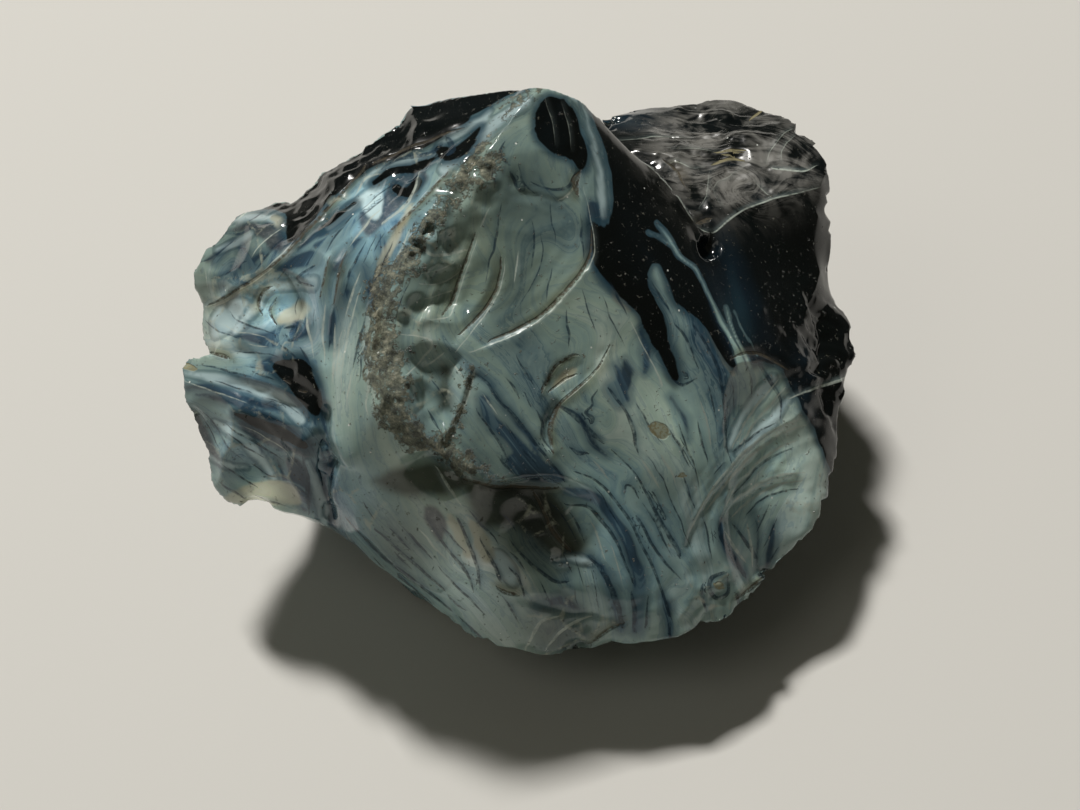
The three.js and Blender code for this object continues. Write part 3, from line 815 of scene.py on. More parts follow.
# %% [markdown]
# ## How the glass flowed
# While it was soft the glass was stirred, so its colours lie in long ribbons. A plain noise would give
# blots. Here a few lines show which way the glass ran. Grains of colour are scattered over the board,
# and each place takes the mean of the grains that lie up and down the flow from it. That smears them
# into ribbons which bend as the glass did.

# %% Draw the flow
# Each guide is a line along which the glass ran. The last few guide the black shoulder.
FLOW = [
    [(4, 68), (7, 49), (3, 30)], [(-9, 68), (-12, 51), (-17, 32)],
    [(16, 58), (17, 46), (26, 32), (32, 20), (37, 5), (40, -9)],
    [(28, 54), (37, 45), (42, 31), (51, 16), (58, 7)],
    [(0, 77), (-20, 67), (-39, 54), (-49, 43), (-56, 37)], [(-9, 79), (-27, 74), (-42, 61)],
    [(-14, 25), (-4, 15), (4, 2), (16, -7), (21, -20), (23, -31)],
    [(-9, 17), (0, 4), (10, -5), (16, -20), (18, -35)],
    [(14, 16), (19, 5), (28, -9), (33, -18), (35, -31)], [(16, 37), (24, 16), (35, -1), (40, -18)],
    [(-40, 1), (-35, -9), (-26, -18), (-18, -27), (-11, -33)],
    [(-26, -5), (-20, -13), (-11, -22), (-5, -28)], [(-17, -2), (-9, -13), (0, -24), (3, -33)],
    [(-73, 19), (-58, 15), (-45, 11), (-41, 3), (-41, -10)],
    [(-71, 28), (-62, 27), (-55, 28), (-47, 26), (-42, 20)],
    [(-25, 53), (-32, 38), (-37, 24), (-40, 10)], [(-41, 50), (-42, 37), (-43, 24), (-42, 12)],
    [(-68, 51), (-71, 42), (-67, 33)], [(-49, 60), (-57, 53), (-64, 46)],
    [(-70, 11), (-67, 3), (-59, -3), (-48, -5)],
    [(61, 0), (54, -10), (49, -21)], [(67, -1), (63, -12), (54, -23)],
    [(22, 82), (41, 79), (59, 79), (69, 69)], [(39, 61), (53, 63), (67, 66)],
    [(47, 61), (49, 42), (54, 27)], [(62, 61), (63, 38), (66, 16)], [(61, 20), (51, 16), (45, 5)],
]
print("drew", len(FLOW), "guides")

# %% Fill the board with the flow
GRID_CELL = 0.6
GRID_FROM = np.array((-100.0, -60.0))
GRID_COUNT = (334, 270)
FLOW_REACH = 5.0

across = GRID_FROM[0] + GRID_CELL * np.arange(GRID_COUNT[0])
up = GRID_FROM[1] + GRID_CELL * np.arange(GRID_COUNT[1])
grid = np.stack(np.meshgrid(across, up), axis=-1)
flow = np.zeros_like(grid)
for guide in FLOW:
    curve = curve_through(guide, 5)
    for a, b in zip(curve, curve[1:]):
        gap_squared = ((grid - (a + b) / 2) ** 2).sum(axis=-1)
        flow += (b - a) / ((gap_squared + FLOW_REACH**2) ** 2)[..., None]
flow /= np.linalg.norm(flow, axis=-1, keepdims=True)
print("flow on a board of", GRID_COUNT, "places")


def read_grid(values, places):
    """The grid's value at each place, mixed from the four nodes around it."""
    at = np.clip((places - GRID_FROM) / GRID_CELL, 0, np.array(GRID_COUNT) - 1.001)
    column, row = np.moveaxis(at.astype(int), -1, 0)
    right, above = np.moveaxis(at - at.astype(int), -1, 0)
    if values.ndim > 2:
        right, above = right[..., None], above[..., None]
    low = values[row, column] * (1 - right) + values[row, column + 1] * right
    high = values[row + 1, column] * (1 - right) + values[row + 1, column + 1] * right
    return low * (1 - above) + high * above


# %% Smear grains of colour along the flow
def grains(size, seed):
    """Soft grains, about this many millimetres wide, with a mean of 0 and a spread of 1."""
    k_across = np.fft.fftfreq(GRID_COUNT[0], GRID_CELL)[None, :]
    k_up = np.fft.fftfreq(GRID_COUNT[1], GRID_CELL)[:, None]
    speckle = np.random.default_rng(seed).normal(size=GRID_COUNT[::-1])
    soften = np.exp(-2 * (math.pi * size / 2.5) ** 2 * (k_across**2 + k_up**2))
    field = np.real(np.fft.ifft2(np.fft.fft2(speckle) * soften))
    return (field - field.mean()) / field.std()


def smeared(field, length, step=1.3 * GRID_CELL):
    """The mean of the field for this many millimetres up and down the flow, fading at both ends."""
    count = int(length / step)
    total = field.copy()
    for way in (1, -1):
        at = grid.copy()
        for i in range(count):
            at += way * step * read_grid(flow, at)
            total += read_grid(field, at) * math.cos(math.pi / 2 * (i + 1) / (count + 1)) ** 2
    return (total - total.mean()) / total.std()


# Each field of ribbons: (size of its grains, their seed, length of the smear).
RIBBONS = [(6.5, 11, 34), (2.6, 12, 26), (12, 13, 50)]
ribbons = np.stack([smeared(grains(size, seed), length) for size, seed, length in RIBBONS], axis=-1)
print(len(RIBBONS), "fields of ribbons, from", ribbons.min().round(1), "to", ribbons.max().round(1))

# %% Curl the ribbons round the eyes
# Each eye: (across, up, size, turns).
EYES = [
    (-48.5, 30.5, 4.5, 0.7), (16.5, 11, 3, 0.5), (-9, 38, 7, 0.3), (7, 47, 8, 0.35), (26, 29, 6, 0.3),
    (-60, 4, 5, 0.5), (4, -10, 5, 0.4), (-26, 60, 5, 0.5), (33, -24, 4, 0.3), (50, 64, 5, 0.5),
    (-61, 45, 6, 0.4), (9, 31, 6, -0.3), (24, -2, 5, 0.25), (-13, -14, 5, 0.25), (-34, 42, 5, 0.4),
]


def curled(places):
    """Places turned round the eyes, most at their middles."""
    places = places.copy()
    for eye_across, eye_up, size, turns in EYES:
        off = places - np.array((eye_across, eye_up))
        angle = 2 * math.pi * turns * patch(places, eye_across, eye_up, size)
        turned = np.stack([off[:, 0] * np.cos(angle) - off[:, 1] * np.sin(angle),
                           off[:, 0] * np.sin(angle) + off[:, 1] * np.cos(angle)], axis=1)
        places += turned - off
    return places


places = on_board(points)
normals = read_normals(skin)
hidden = 1 - smoothstep(-0.12, 0.22, normals @ BOARD_OUT)
shown = 1 - hidden
front_streaks = read_grid(ribbons, curled(places + 0.8 * soft_noises(points, 9, 4.4, 7.7)))
print("eyes:", len(EYES), "and", round(100 * shown.mean()), "% of the skin seen from the board")

# %% Stir the hidden sides
# The board can't reach them, so there space itself is pushed about, in large swirls and then in smaller
# ones, and a noise is read in it that is drawn out upwards.
SWIRLS = [(38, 20), (17, 8), (7, 2.4)]
DRAWN_OUT = np.array((1, 1, 0.3))
STREAK_STRENGTH = 3.6

stirred = points
for size, push in SWIRLS:
    stirred = stirred + push * soft_noises(stirred, size, 20.2, 30.3, 40.4)
stretched = stirred * DRAWN_OUT
side_streaks = [STREAK_STRENGTH * soft_noise(stretched, wavelength, 3.3) for wavelength in (8, 3, 14)]
side_streaks = np.stack(side_streaks, axis=1)
streaks = front_streaks + (side_streaks - front_streaks) * hidden[:, None]
print("streaks spread", streaks.std(axis=0).round(2))

# %% [markdown]
# ## Where the colours lie
# The strongest marks are broad inlays of one glass in another. They could be painted on an image, or on
# the faces. Here each is laid out on the board, as a closed outline of (across, up) or as a
# thick stroke of (across, up, half width), and each point of the skin keeps its depth inside them in
# millimetres. From that the finish can draw a soft or a sharp border.
# The dark olive marks among them are painted shade in the hollows, not glass.

# %% Outline the black inlays
INLAYS = {}
INLAYS["black"] = [
    [(14.5, 46.5), (17.5, 41), (23, 35), (27, 29), (30.5, 22), (32, 20), (33.2, 21), (32.5, 24.5), (31, 29),
     (28.5, 36.5), (27, 40), (26.3, 42.5), (27, 44.5), (28.5, 45), (30, 42.5), (31.5, 38), (33.5, 35.5),
     (38.5, 31), (43.5, 23.5), (45.5, 23), (52, 25), (57, 23), (60, 16.5), (63.5, 11), (67, 4), (69, -2),
     (69, -14), (85, -20), (90, 40), (80, 95), (30, 100), (13, 88), (14, 80), (16.5, 72), (18.5, 64),
     (18.5, 56), (17, 52), (14.5, 54)],
    [(2.5, 75), (4.5, 79.5), (7, 80), (10.5, 78), (12.5, 72.5), (13.5, 68), (12.5, 64.5), (10, 66.5),
     (6.5, 68), (3.5, 70.5)],
    [(1.5, 83.5), (-7, 79), (-12, 76), (-17, 73), (-22.5, 72), (-27.5, 69.5), (-32.5, 67.5), (-40, 62),
     (-43, 58), (-45.5, 54), (-49.5, 49.5), (-51.5, 52), (-52, 57), (-60, 59), (-66, 60), (-50, 70),
     (-30, 86), (-9, 86)],
    [(-18.5, 69.5), (-14.5, 69.5), (-11, 72), (-9, 73.5), (-10, 70.5), (-12, 68), (-14.5, 66.5),
     (-17, 66.5)],
    [(-11, 77.5, 0.6), (-14, 75.5, 1), (-20, 72.5, 1.3), (-27, 69.5, 1.2), (-34, 66.3, 0.8),
     (-41, 61, 0.6)],
    [(-18, 67.3, 0.4), (-22, 65.6, 0.8), (-28, 64.8, 0.7), (-32, 62.5, 0.5)],
    [(-27, 61, 0.6), (-24, 59.5, 1.3), (-22.5, 62, 1)],
    [(-36, 58, 0.3), (-40, 55.3, 0.8), (-43.5, 52.5, 0.5)],
    [(-53.5, 23), (-50, 24.6), (-46, 23.8), (-43.6, 19.5), (-42.6, 14.5), (-44, 13), (-46.8, 16),
     (-50, 19.5)],
    [(-62, 13, 0.4), (-57, 11, 1.2), (-51, 8.8, 1.5), (-46.5, 6.5, 0.6)],
]
print("outlined", len(INLAYS["black"]), "black inlays")

# %% Outline the navy inlays
INLAYS["navy"] = [
    [(13.5, 57.5), (16, 57), (18, 51), (20, 47), (22, 43.5), (24, 40), (23, 35.5), (20, 38), (17, 40.5),
     (15, 43), (13.5, 47), (13.5, 52)],
    [(-9, 16.5), (-7, 16.5), (-6.5, 13.5), (-4, 11), (-1, 8), (1.5, 5.5), (4, 3.5), (7, 1.5), (8.5, -0.5),
     (5, -1), (0.5, -0.5), (-2, 1.5), (-3, 4), (-2, 5.5), (-4.5, 8.5), (-7.5, 11.5)],
    [(20.5, 24.5), (22, 23.5), (23, 21.5), (22.5, 19), (21, 16), (20, 15), (18.8, 17), (18, 19),
     (20, 20.5)],
    [(-48.5, 47), (-44.5, 47.5), (-44, 45), (-47, 44), (-52.5, 43.5), (-50.5, 45.5)],
    [(-62.5, 30), (-58.5, 28.5), (-54.5, 27.5), (-50.5, 28.5), (-45.5, 29.5), (-45, 33), (-48, 33.5),
     (-52, 31.5), (-56.5, 30.5)],
    [(-57, 24), (-52, 25.5), (-47, 25.5), (-43, 21), (-41.3, 14), (-43, 10.5), (-45.5, 12), (-49, 16.5),
     (-52.5, 20.5)],
    [(-71, 17, 0.4), (-64, 16.3, 1), (-58.5, 14, 1.1), (-53, 11.5, 1), (-47.5, 8.5, 0.8), (-45, 5.5, 0.4)],
    [(-53, 3, 0.3), (-51, -1.5, 0.7), (-48.5, -5, 0.3)],
    [(-67, 46.5, 0.2), (-63, 51, 0.6), (-59.5, 46.5, 0.8), (-56, 42.5, 0.3)],
    [(-10.5, 22.5, 0.2), (-6.5, 19, 0.5), (-4, 15, 0.6), (-1, 11, 0.6), (2, 7.5, 0.5), (3.5, 4, 0.2)],
    [(11.5, 13, 0.3), (13.5, 9.5, 0.8), (15, 7, 0.9), (17.5, 4.5, 0.3)],
    [(19.5, 23, 0.3), (20.5, 19.5, 0.7), (22, 16, 0.4)],
    [(-51, 3), (-48, 4), (-45.5, 0), (-46, -5), (-47.5, -8), (-49, -4)],
    [(9.5, -3, 0.8), (15.5, -5, 1.1), (20.5, -11, 1.1), (24, -19.5, 1.2), (24.5, -26, 1.2), (24, -33, 0.8)],
    [(-74, 19, 0.5), (-68, 18.5, 1), (-60, 16.5, 0.9), (-52, 14.5, 0.7)],
    [(-44, 24, 0.5), (-42.5, 12, 0.8), (-41.5, 2, 1), (-42.5, -5, 1.2), (-41.5, -11, 0.8)],
    [(42, -10, 0.3), (43, -14.5, 0.8), (46.5, -19.5, 0.9), (48.5, -23, 0.5)],
    [(50, -8.5, 0.3), (51, -13, 0.6), (51, -21, 0.5)],
    [(54.5, -11, 0.4), (54, -16.5, 0.8), (52.5, -22, 0.5)],
    [(3, -27.5, 0.5), (8, -26.5, 0.9), (12, -28.5, 0.5)],
    [(14, -17, 0.4), (17.5, -21.5, 0.7), (20, -28, 0.7), (21, -33, 0.4)],
    [(29.5, -25.5, 0.3), (31, -29.5, 0.8), (31, -35, 0.5)],
    [(-33, 44, 0.4), (-31.5, 40, 0.8), (-31, 36, 0.4)],
    [(-36.5, 38.5, 0.4), (-39.5, 33, 0.8), (-40, 28, 0.4)],
    [(-30, 50, 0.4), (-28.5, 46, 0.8), (-30.5, 41, 0.5)],
    [(-35, 58.5, 0.5), (-38, 55, 0.9), (-44, 51, 1), (-48, 48, 0.5)],
    [(-36, 54, 0.3), (-40, 50.5, 0.8), (-44, 48.5, 0.4)],
    [(-34.5, 50, 0.4), (-37.5, 46.5, 0.7), (-39, 43, 0.3)],
    [(-18.5, 76.5, 0.3), (-24, 74.2, 0.5), (-28, 72.5, 0.3)],
    [(-56, 47.5, 0.4), (-59.5, 45.5, 0.7), (-63, 44.5, 0.3)],
    [(31, 17, 0.3), (34, 12, 0.6), (35, 8, 0.3)], [(24.5, 31, 0.3), (26, 27, 0.8), (25.5, 22, 0.4)],
]
print("outlined", len(INLAYS["navy"]), "navy inlays")

# %% Outline the purple inlays
INLAYS["purple"] = [
    [(-25, 66.5), (-21.5, 65), (-20, 62.5), (-22.5, 59), (-26.5, 55.5), (-29.5, 52.5), (-32.5, 50.5),
     (-34.5, 53), (-34.5, 56), (-31, 57), (-29, 60), (-27.5, 63.5)],
    [(-20, -6.5), (-18, -6.5), (-16.5, -8.5), (-16.5, -11), (-17.5, -13.5), (-19, -11.5), (-20, -9)],
    [(-58.5, 52.5), (-55, 55), (-50, 50), (-52.5, 47.5), (-56, 50.5)],
    [(-64, 50, 0.4), (-67, 47.5, 0.7), (-69, 46.5, 0.4)],
    [(-67.5, 53, 0.4), (-61, 54, 0.8), (-56, 53, 0.5)],
    [(-61, 11.5), (-54, 11), (-49, 10.5), (-45, 6.5), (-45.5, 4), (-50.5, 4.5), (-55.5, 6.5), (-59.5, 8.5)],
    [(-72, 13, 0.8), (-69.5, 7, 1.4), (-66, 2, 0.8)],
]
print("outlined", len(INLAYS["purple"]), "purple inlays")

# %% Outline the pale inlays
INLAYS["pale"] = [
    [(-7.5, 78, 0.4), (-9, 75.5, 0.8), (-12, 74, 1.1), (-15.5, 72, 0.9), (-17, 71.3, 0.7), (-18, 68.5, 0.6),
     (-21, 67, 0.9), (-24.5, 67.5, 0.8), (-28.5, 66.5, 0.7), (-31.5, 65.5, 0.5), (-34, 63, 0.3)],
    [(-34, 67, 0.2), (-36.5, 65, 0.4), (-41, 61.5, 0.5), (-44, 57.5, 0.2)],
    [(-31, 61.5), (-33.5, 59.5), (-34.5, 57.5), (-33, 55.5), (-30.5, 54), (-29.8, 57)],
    [(-30, 65, 0.6), (-27.5, 64.5, 0.8)],
    [(-29.5, 63.5, 0.5), (-33.5, 59.5, 0.8), (-37, 57, 0.8), (-41.5, 53, 0.6)],
    [(-68, 34), (-65, 37), (-61.5, 37.5), (-59.5, 36.5), (-62, 33), (-65, 30.5), (-67.5, 30)],
    [(-44.5, 40.5, 0.4), (-51.5, 40.5, 0.8), (-55.5, 39, 0.8), (-58, 35.5, 0.8), (-62, 31, 0.4)],
    [(1, 79, 0.6), (-4.5, 75.3, 0.9), (-10.5, 70, 1), (-16.5, 64.5, 1)],
    [(-46, 3, 0.4), (-44.5, -2.5, 0.8), (-43.5, -7, 0.7), (-43.5, -12, 0.4)],
    [(-74, 22, 0.3), (-66, 20.5, 0.9), (-58, 18.5, 1), (-52, 16.5, 0.9), (-47, 12, 0.6)],
    [(-49, 23, 0.3), (-47.5, 23.3, 0.5), (-46.5, 22.8, 0.2)],
    [(-5.5, -17, 0.3), (-3.5, -20, 0.6), (-2.5, -22.5, 0.3)],
    [(6.5, -17.6, 0.2), (10, -17.3, 0.6), (14, -18, 0.2)],
    [(54.5, 21, 0.3), (50.5, 16.5, 0.6), (46, 10.5, 0.5), (44.5, 6, 0.2)],
    [(58.5, 16.5, 0.3), (54.5, 12, 0.6), (49.5, 7.8, 0.5), (46, 4.5, 0.2)],
    [(-67.5, 55, 0.4), (-62.5, 56, 0.7), (-56.5, 56, 0.7), (-53, 54.5, 0.4)],
    [(-67, 49, 0.3), (-61.5, 51, 0.6), (-59, 52, 0.3)],
    [(14.4, 70, 0.2), (16.3, 66, 0.5), (16.6, 60, 0.5), (17, 55, 0.2)],
    [(9, 82, 0.2), (12.4, 79, 0.3), (14, 74, 0.4), (15.7, 69, 0.4)],
    [(-67, 11.5, 0.3), (-61, 8.5, 0.9), (-57.5, 4, 1), (-54, -0.5, 0.5)],
    [(-69, 4, 0.2), (-65, 2, 0.4), (-60, 1.5, 0.2)],
]
print("outlined", len(INLAYS["pale"]), "pale inlays")

# %% Outline the cream inlays and the painted shade in the hollows
INLAYS["cream"] = [
    [(-52.5, 33.5), (-48, 37), (-45, 35.5), (-46.5, 33.8), (-49, 33), (-51.5, 32.6)],
    [(-66, -5.5), (-57, -1.5), (-53, -1.5), (-49.5, -2.5), (-48.5, -5), (-49.5, -6.5), (-55.5, -6.5),
     (-65.5, -6.5)],
    [(-55, 56, 0.5), (-53.5, 55.2, 0.8), (-49, 51, 0.6)],
    [(-27.5, 80.5, 0.5), (-30, 77.5, 0.9), (-32.5, 74, 0.8), (-36.5, 69.5, 0.6), (-40.5, 66, 0.3)],
    [(-10.5, -10, 0.4), (-8.5, -13.5, 0.9), (-7.5, -17, 0.4)],
    [(-15, -8, 0.4), (-13, -12, 0.8), (-12, -16, 0.3)],
    [(38.5, 31.5, 0.3), (41, 28, 0.6), (43, 24, 0.7), (45, 21.5, 0.4)],
    [(6, 19, 0.2), (8.5, 21, 0.8), (11, 22.5, 0.3)],
    [(-23.5, 57, 0.3), (-26, 50, 0.8), (-29.5, 44, 0.4)], [(19, 39.5, 0.4), (20, 37.5, 0.9), (22, 35, 0.4)],
]
# These dark olive marks are painted shade, laid into the hollows and recesses of the broad face.
INLAYS["olive"] = [
    [(-12, -1.5), (-3.5, -1.5), (3, -2), (7, -4), (9, -8), (11.5, -12), (12.5, -15.5), (9.5, -17),
     (6, -16.5), (2.5, -13.5), (-1, -10.5), (-4.5, -10), (-8, -10), (-10.5, -6.5), (-11.5, -4)],
    [(-31, -1), (-25.5, 1.5), (-19.5, 3), (-14, 1.5), (-10, -1.5), (-16, -3), (-24, -3.5)],
    [(-16, 55, 0.5), (-13.5, 60, 0.8), (-10, 66, 0.6)], [(-16, 22, 0.8), (-16, 15, 0.8)],
]
print("outlined", len(INLAYS["cream"]), "cream and", len(INLAYS["olive"]), "olive inlays")

# %% Outline the drips that hang into the black
DRIPS = [
    [(28.5, 54, 0.3), (31, 51, 0.5), (33.5, 47, 0.5), (37, 44.5, 0.5), (38.5, 42, 0.5), (40.5, 37.5, 0.6),
     (42.5, 33, 0.7), (45, 28, 0.9), (47, 23, 1.4)],
    [(26.5, 52, 0.2), (29, 51, 0.3), (31.5, 49.5, 0.3)],
    [(43.5, 36.5, 0.2), (44.5, 33.5, 0.4), (46, 29.5, 0.5), (49, 23, 0.8)],
    [(45.5, 35.5, 0.1), (47.5, 31.5, 0.2), (50.5, 25.5, 0.3)],
]
print("outlined", len(DRIPS), "drips")

# %% Measure how deep each point lies in them
# The borders wobble a little, and a drip cuts through the black.
DRIP_STRENGTH = 3.5

wobble = soft_noises(points, 6, 12.1, 13.2) + 0.5 * soft_noises(points, 2.4, 14.1, 15.2)
marked = places + 0.45 * wobble
depths = {name: depth_in(marked, marks) for name, marks in INLAYS.items()}
in_drip = depth_in(marked, DRIPS)
depths["black"] = np.minimum(depths["black"], -np.where(in_drip > 0, DRIP_STRENGTH * in_drip, in_drip))
print("deepest:", {name: round(float(depth.max()), 1) for name, depth in depths.items()})

# %% Carry the black, the ribbons and the veins on round the hidden sides
# Black lies to the right of a ragged border, as it does in front. Veins and ribbons run where a streak
# field crosses zero.
BACK_BORDER = 14
VEIN_SLOPE = 2.2
DEPTH_OUTSIDE = -4

black_behind = points[:, 0] - BACK_BORDER + 26 * soft_noise(points, 42, 9.9)
black_behind += 7 * side_streaks[:, 2] + 3 * streaks[:, 0]
come_and_go = 2.4 * soft_noise(points, 26, 17.3)
vein_behind = VEIN_SLOPE * (0.35 - np.abs(side_streaks[:, 0])) + come_and_go
ribbon_behind = VEIN_SLOPE * (0.45 - np.abs(side_streaks[:, 2])) - come_and_go
depths_behind = {
    "black": np.minimum(black_behind, -vein_behind),
    "navy": np.maximum(DEPTH_OUTSIDE, ribbon_behind),
    "pale": np.maximum(DEPTH_OUTSIDE, vein_behind - 1.2),
}
for name in INLAYS:
    depths[name] = depths[name] * shown + depths_behind.get(name, DEPTH_OUTSIDE) * hidden
    print(name, "glass on", round(100 * (depths[name] > 0).mean(), 1), "% of the skin")

# %% [markdown]
# ## Pen lines
# Many marks are far finer than the skin's squares: dark hairlines between two streams, cracks, thin rims,
# and on the black shoulder thin painted glints. Most have one sharp side and one that fades into the next
# stream; beside the brown rims of the scars the fade is partly painted shade. They could be inlays too, but
# a depth would blur them. So each point keeps its distance to the nearest line, with a sign for the side it
# is on. That number runs straight through zero at the line, so the line stays sharp however large the
# squares are. Each line is a list of (across, up, half width).

# %% List the dark lines
INK_LINES = [
    [(-10.5, 22, 0.1), (-7.5, 19.5, 0.3), (-5, 16, 0.25), (-2, 13, 0.3), (3, 6.5, 0.3), (8.5, -0.5, 0.2)],
    [(-9, 18.5, 0.1), (-3.5, 12.5, 0.2), (2.5, 5.5, 0.1)], [(-9.5, 14, 0.1), (-5.5, 8, 0.25), (-3, 4, 0.1)],
    [(3, 13.5, 0.1), (4, 11, 0.25), (4, 8.5, 0.2), (6, 5.5, 0.1)], [(0.5, 17.5, 0.1), (1.5, 15, 0.15)],
    [(7.5, 15, 0.3), (10, 13.5, 0.6), (12, 11.5, 0.6), (14.5, 9, 0.5), (16.5, 7.5, 0.2)],
    [(15.5, 18, 0.1), (14.5, 16.5, 0.2), (14.5, 15, 0.2), (13, 13.5, 0.3), (14.5, 12, 0.4),
     (13.5, 10, 0.1)],
    [(18, 18.5, 0.2), (19.5, 16.5, 0.3), (21.5, 13.5, 0.3), (23, 10.5, 0.45), (23.5, 7, 0.3), (24, 5, 0.1)],
    [(10, 6, 0.2), (11.5, 5, 0.5), (13.5, 5, 0.2)],
    [(11, 1, 0.1), (15.5, -1, 0.25), (21, -7, 0.3), (24.5, -13.5, 0.3), (28, -20.5, 0.3), (31, -29.5, 0.3)],
    [(15.5, 1, 0.1), (21, -5, 0.25), (25, -10.5, 0.3), (29.5, -18, 0.25), (33.5, -22, 0.1)],
    [(18.5, 5.5, 0.1), (23.5, 0.5, 0.2), (27.5, -7, 0.35), (32, -14.5, 0.5), (33, -17, 0.4)],
    [(21, 6, 0.1), (24.5, 1, 0.15), (30, -8.5, 0.2), (33, -15.5, 0.1)],
    [(23, -6.5, 0.1), (21.5, -4, 0.2), (21.5, -2, 0.2), (23, -2.5, 0.2), (24, -4.5, 0.1)],
    [(9, -6, 0.1), (13.5, -6.5, 0.3), (16.5, -9.5, 0.4), (19.5, -13.5, 0.3), (23, -22.5, 0.2)],
    [(14, -17, 0.2), (16.5, -20, 0.5), (20, -27, 0.6), (21, -32, 0.3)],
    [(23, -25, 0.2), (23.5, -28, 0.45), (23.5, -33, 0.3)], [(26.5, -26, 0.1), (26, -32, 0.3)],
    [(29.5, -25.5, 0.2), (31, -29, 0.45), (31, -34, 0.3)],
    [(11.5, -14.5, 0.2), (15, -17, 0.4), (18.5, -20.5, 0.2)],
    [(-2.5, -13.5, 0.1), (0.5, -17.5, 0.3), (6, -22, 0.35), (9, -22.5, 0.2)],
    [(-20, -9, 0.2), (-17, -14, 0.3), (-12, -20.5, 0.3), (-10.5, -24.5, 0.1)],
    [(-13.5, -8.5, 0.2), (-10.5, -16.5, 0.4), (-9, -23.5, 0.2)],
    [(-9, -13, 0.1), (-5.5, -20.5, 0.4), (-5, -22, 0.2)],
    [(-11, -8, 0.1), (-8, -15, 0.2)], [(-3, -19.5, 0.1), (-1, -21.5, 0.3), (0, -25, 0.2)],
    [(-38, -9.5, 0.2), (-31, -17, 0.4), (-22.5, -23.5, 0.35), (-16, -29, 0.2)],
    [(-31.5, -11.5, 0.2), (-24.5, -18, 0.35), (-17, -24.5, 0.2)],
    [(-35, -14, 0.1), (-27, -22, 0.3), (-20, -28, 0.1)],
    [(34, -0.5, 0.1), (35, -3, 0.25), (36.5, -6.5, 0.1)], [(34.4, 21.6, 0.45), (34.6, 21.4, 0.45)],
    [(32, 20, 0.2), (34, 19.3, 0.3), (36.5, 20.5, 0.1)],
    [(32, 32, 0.1), (34, 30, 0.3), (35.5, 27, 0.2), (37, 23, 0.1)],
    [(36, 32, 0.2), (39, 28, 0.3), (41.5, 22.5, 0.3), (43, 15, 0.25), (43.5, 7, 0.15), (44.5, 3, 0.1)],
    [(51, 24, 0.4), (54, 20, 0.45), (56.5, 16, 0.3), (56, 12, 0.1)],
    [(59, 5.6, 0.1), (54, 3.6, 0.25), (49.5, 0.2, 0.25), (45.5, -4.2, 0.1)],
    [(60, -3.4, 0.1), (55.5, -4.2, 0.2), (51.5, -5.8, 0.2), (48.5, -8.5, 0.1)],
    [(55.5, 11.5, 0.05), (50.5, 9, 0.2), (45.5, 5.3, 0.2), (41, 0.5, 0.1)],
    [(42.5, -9, 0.1), (42, -12.5, 0.4), (44, -16, 0.5), (48, -22, 0.4)],
    [(45.5, -11, 0.2), (50.5, -18, 0.5)],
    [(43, -21, 0.3), (40.5, -22, 0.5), (40, -24.5, 0.5), (41.5, -26.5, 0.4), (44, -25.5, 0.4),
     (43.8, -22.5, 0.2)],
    [(39.5, -21, 0.1), (38, -25, 0.35), (39, -29, 0.2)], [(45, -24, 0.2), (46.5, -28, 0.4)],
    [(39.5, 38, 0.1), (41.5, 33, 0.2), (45, 26, 0.3)],
    [(-44.5, 44, 0.2), (-48, 41.5, 0.3), (-44.5, 40, 0.2)],
    [(-50.5, 31.5, 0.2), (-48.5, 31.8, 0.35), (-47.8, 30, 0.35), (-49, 28.8, 0.3), (-50.3, 29.8, 0.2)],
    [(3.5, 51, 0.03), (4, 46, 0.1), (2, 40.5, 0.1), (-1, 35.5, 0.03)],
    [(-1, 65, 0.05), (0, 61.5, 0.25), (2, 59.5, 0.1)],
    [(-67.5, 53, 0.1), (-62, 52.5, 0.3), (-56, 54.5, 0.1)],
    [(-71.5, 46, 0.1), (-67.5, 47.5, 0.2), (-63, 51.5, 0.1)],
    [(-67.5, 42.5, 0.1), (-64.5, 43.5, 0.2), (-60, 46, 0.1)],
    [(-47, 4, 0.1), (-46, -0.5, 0.4), (-46.5, -4.5, 0.4), (-46.5, -8.5, 0.1)],
    [(11, 64, 0.1), (9.5, 61, 0.3), (6, 60.3, 0.25), (2, 61.5, 0.1)],
    [(-4, 70, 0.1), (-5, 67, 0.3), (-3, 65, 0.1)],
    [(-30, 65.8, 0.2), (-26, 67.9, 0.4), (-20, 68.3, 0.5), (-17.5, 70, 0.2)],
    [(-16, 71.5, 0.5), (-14.8, 69, 0.7), (-16, 67.8, 0.4)],
    [(-4, 65, 0.1), (-2, 62.5, 0.3), (-1, 60, 0.3), (2, 59.5, 0.35), (5.5, 60, 0.1)],
    [(-7.5, 63, 0.1), (-6, 61.5, 0.3), (-6, 60.5, 0.1)],
]
print("listed", len(INK_LINES), "dark lines")

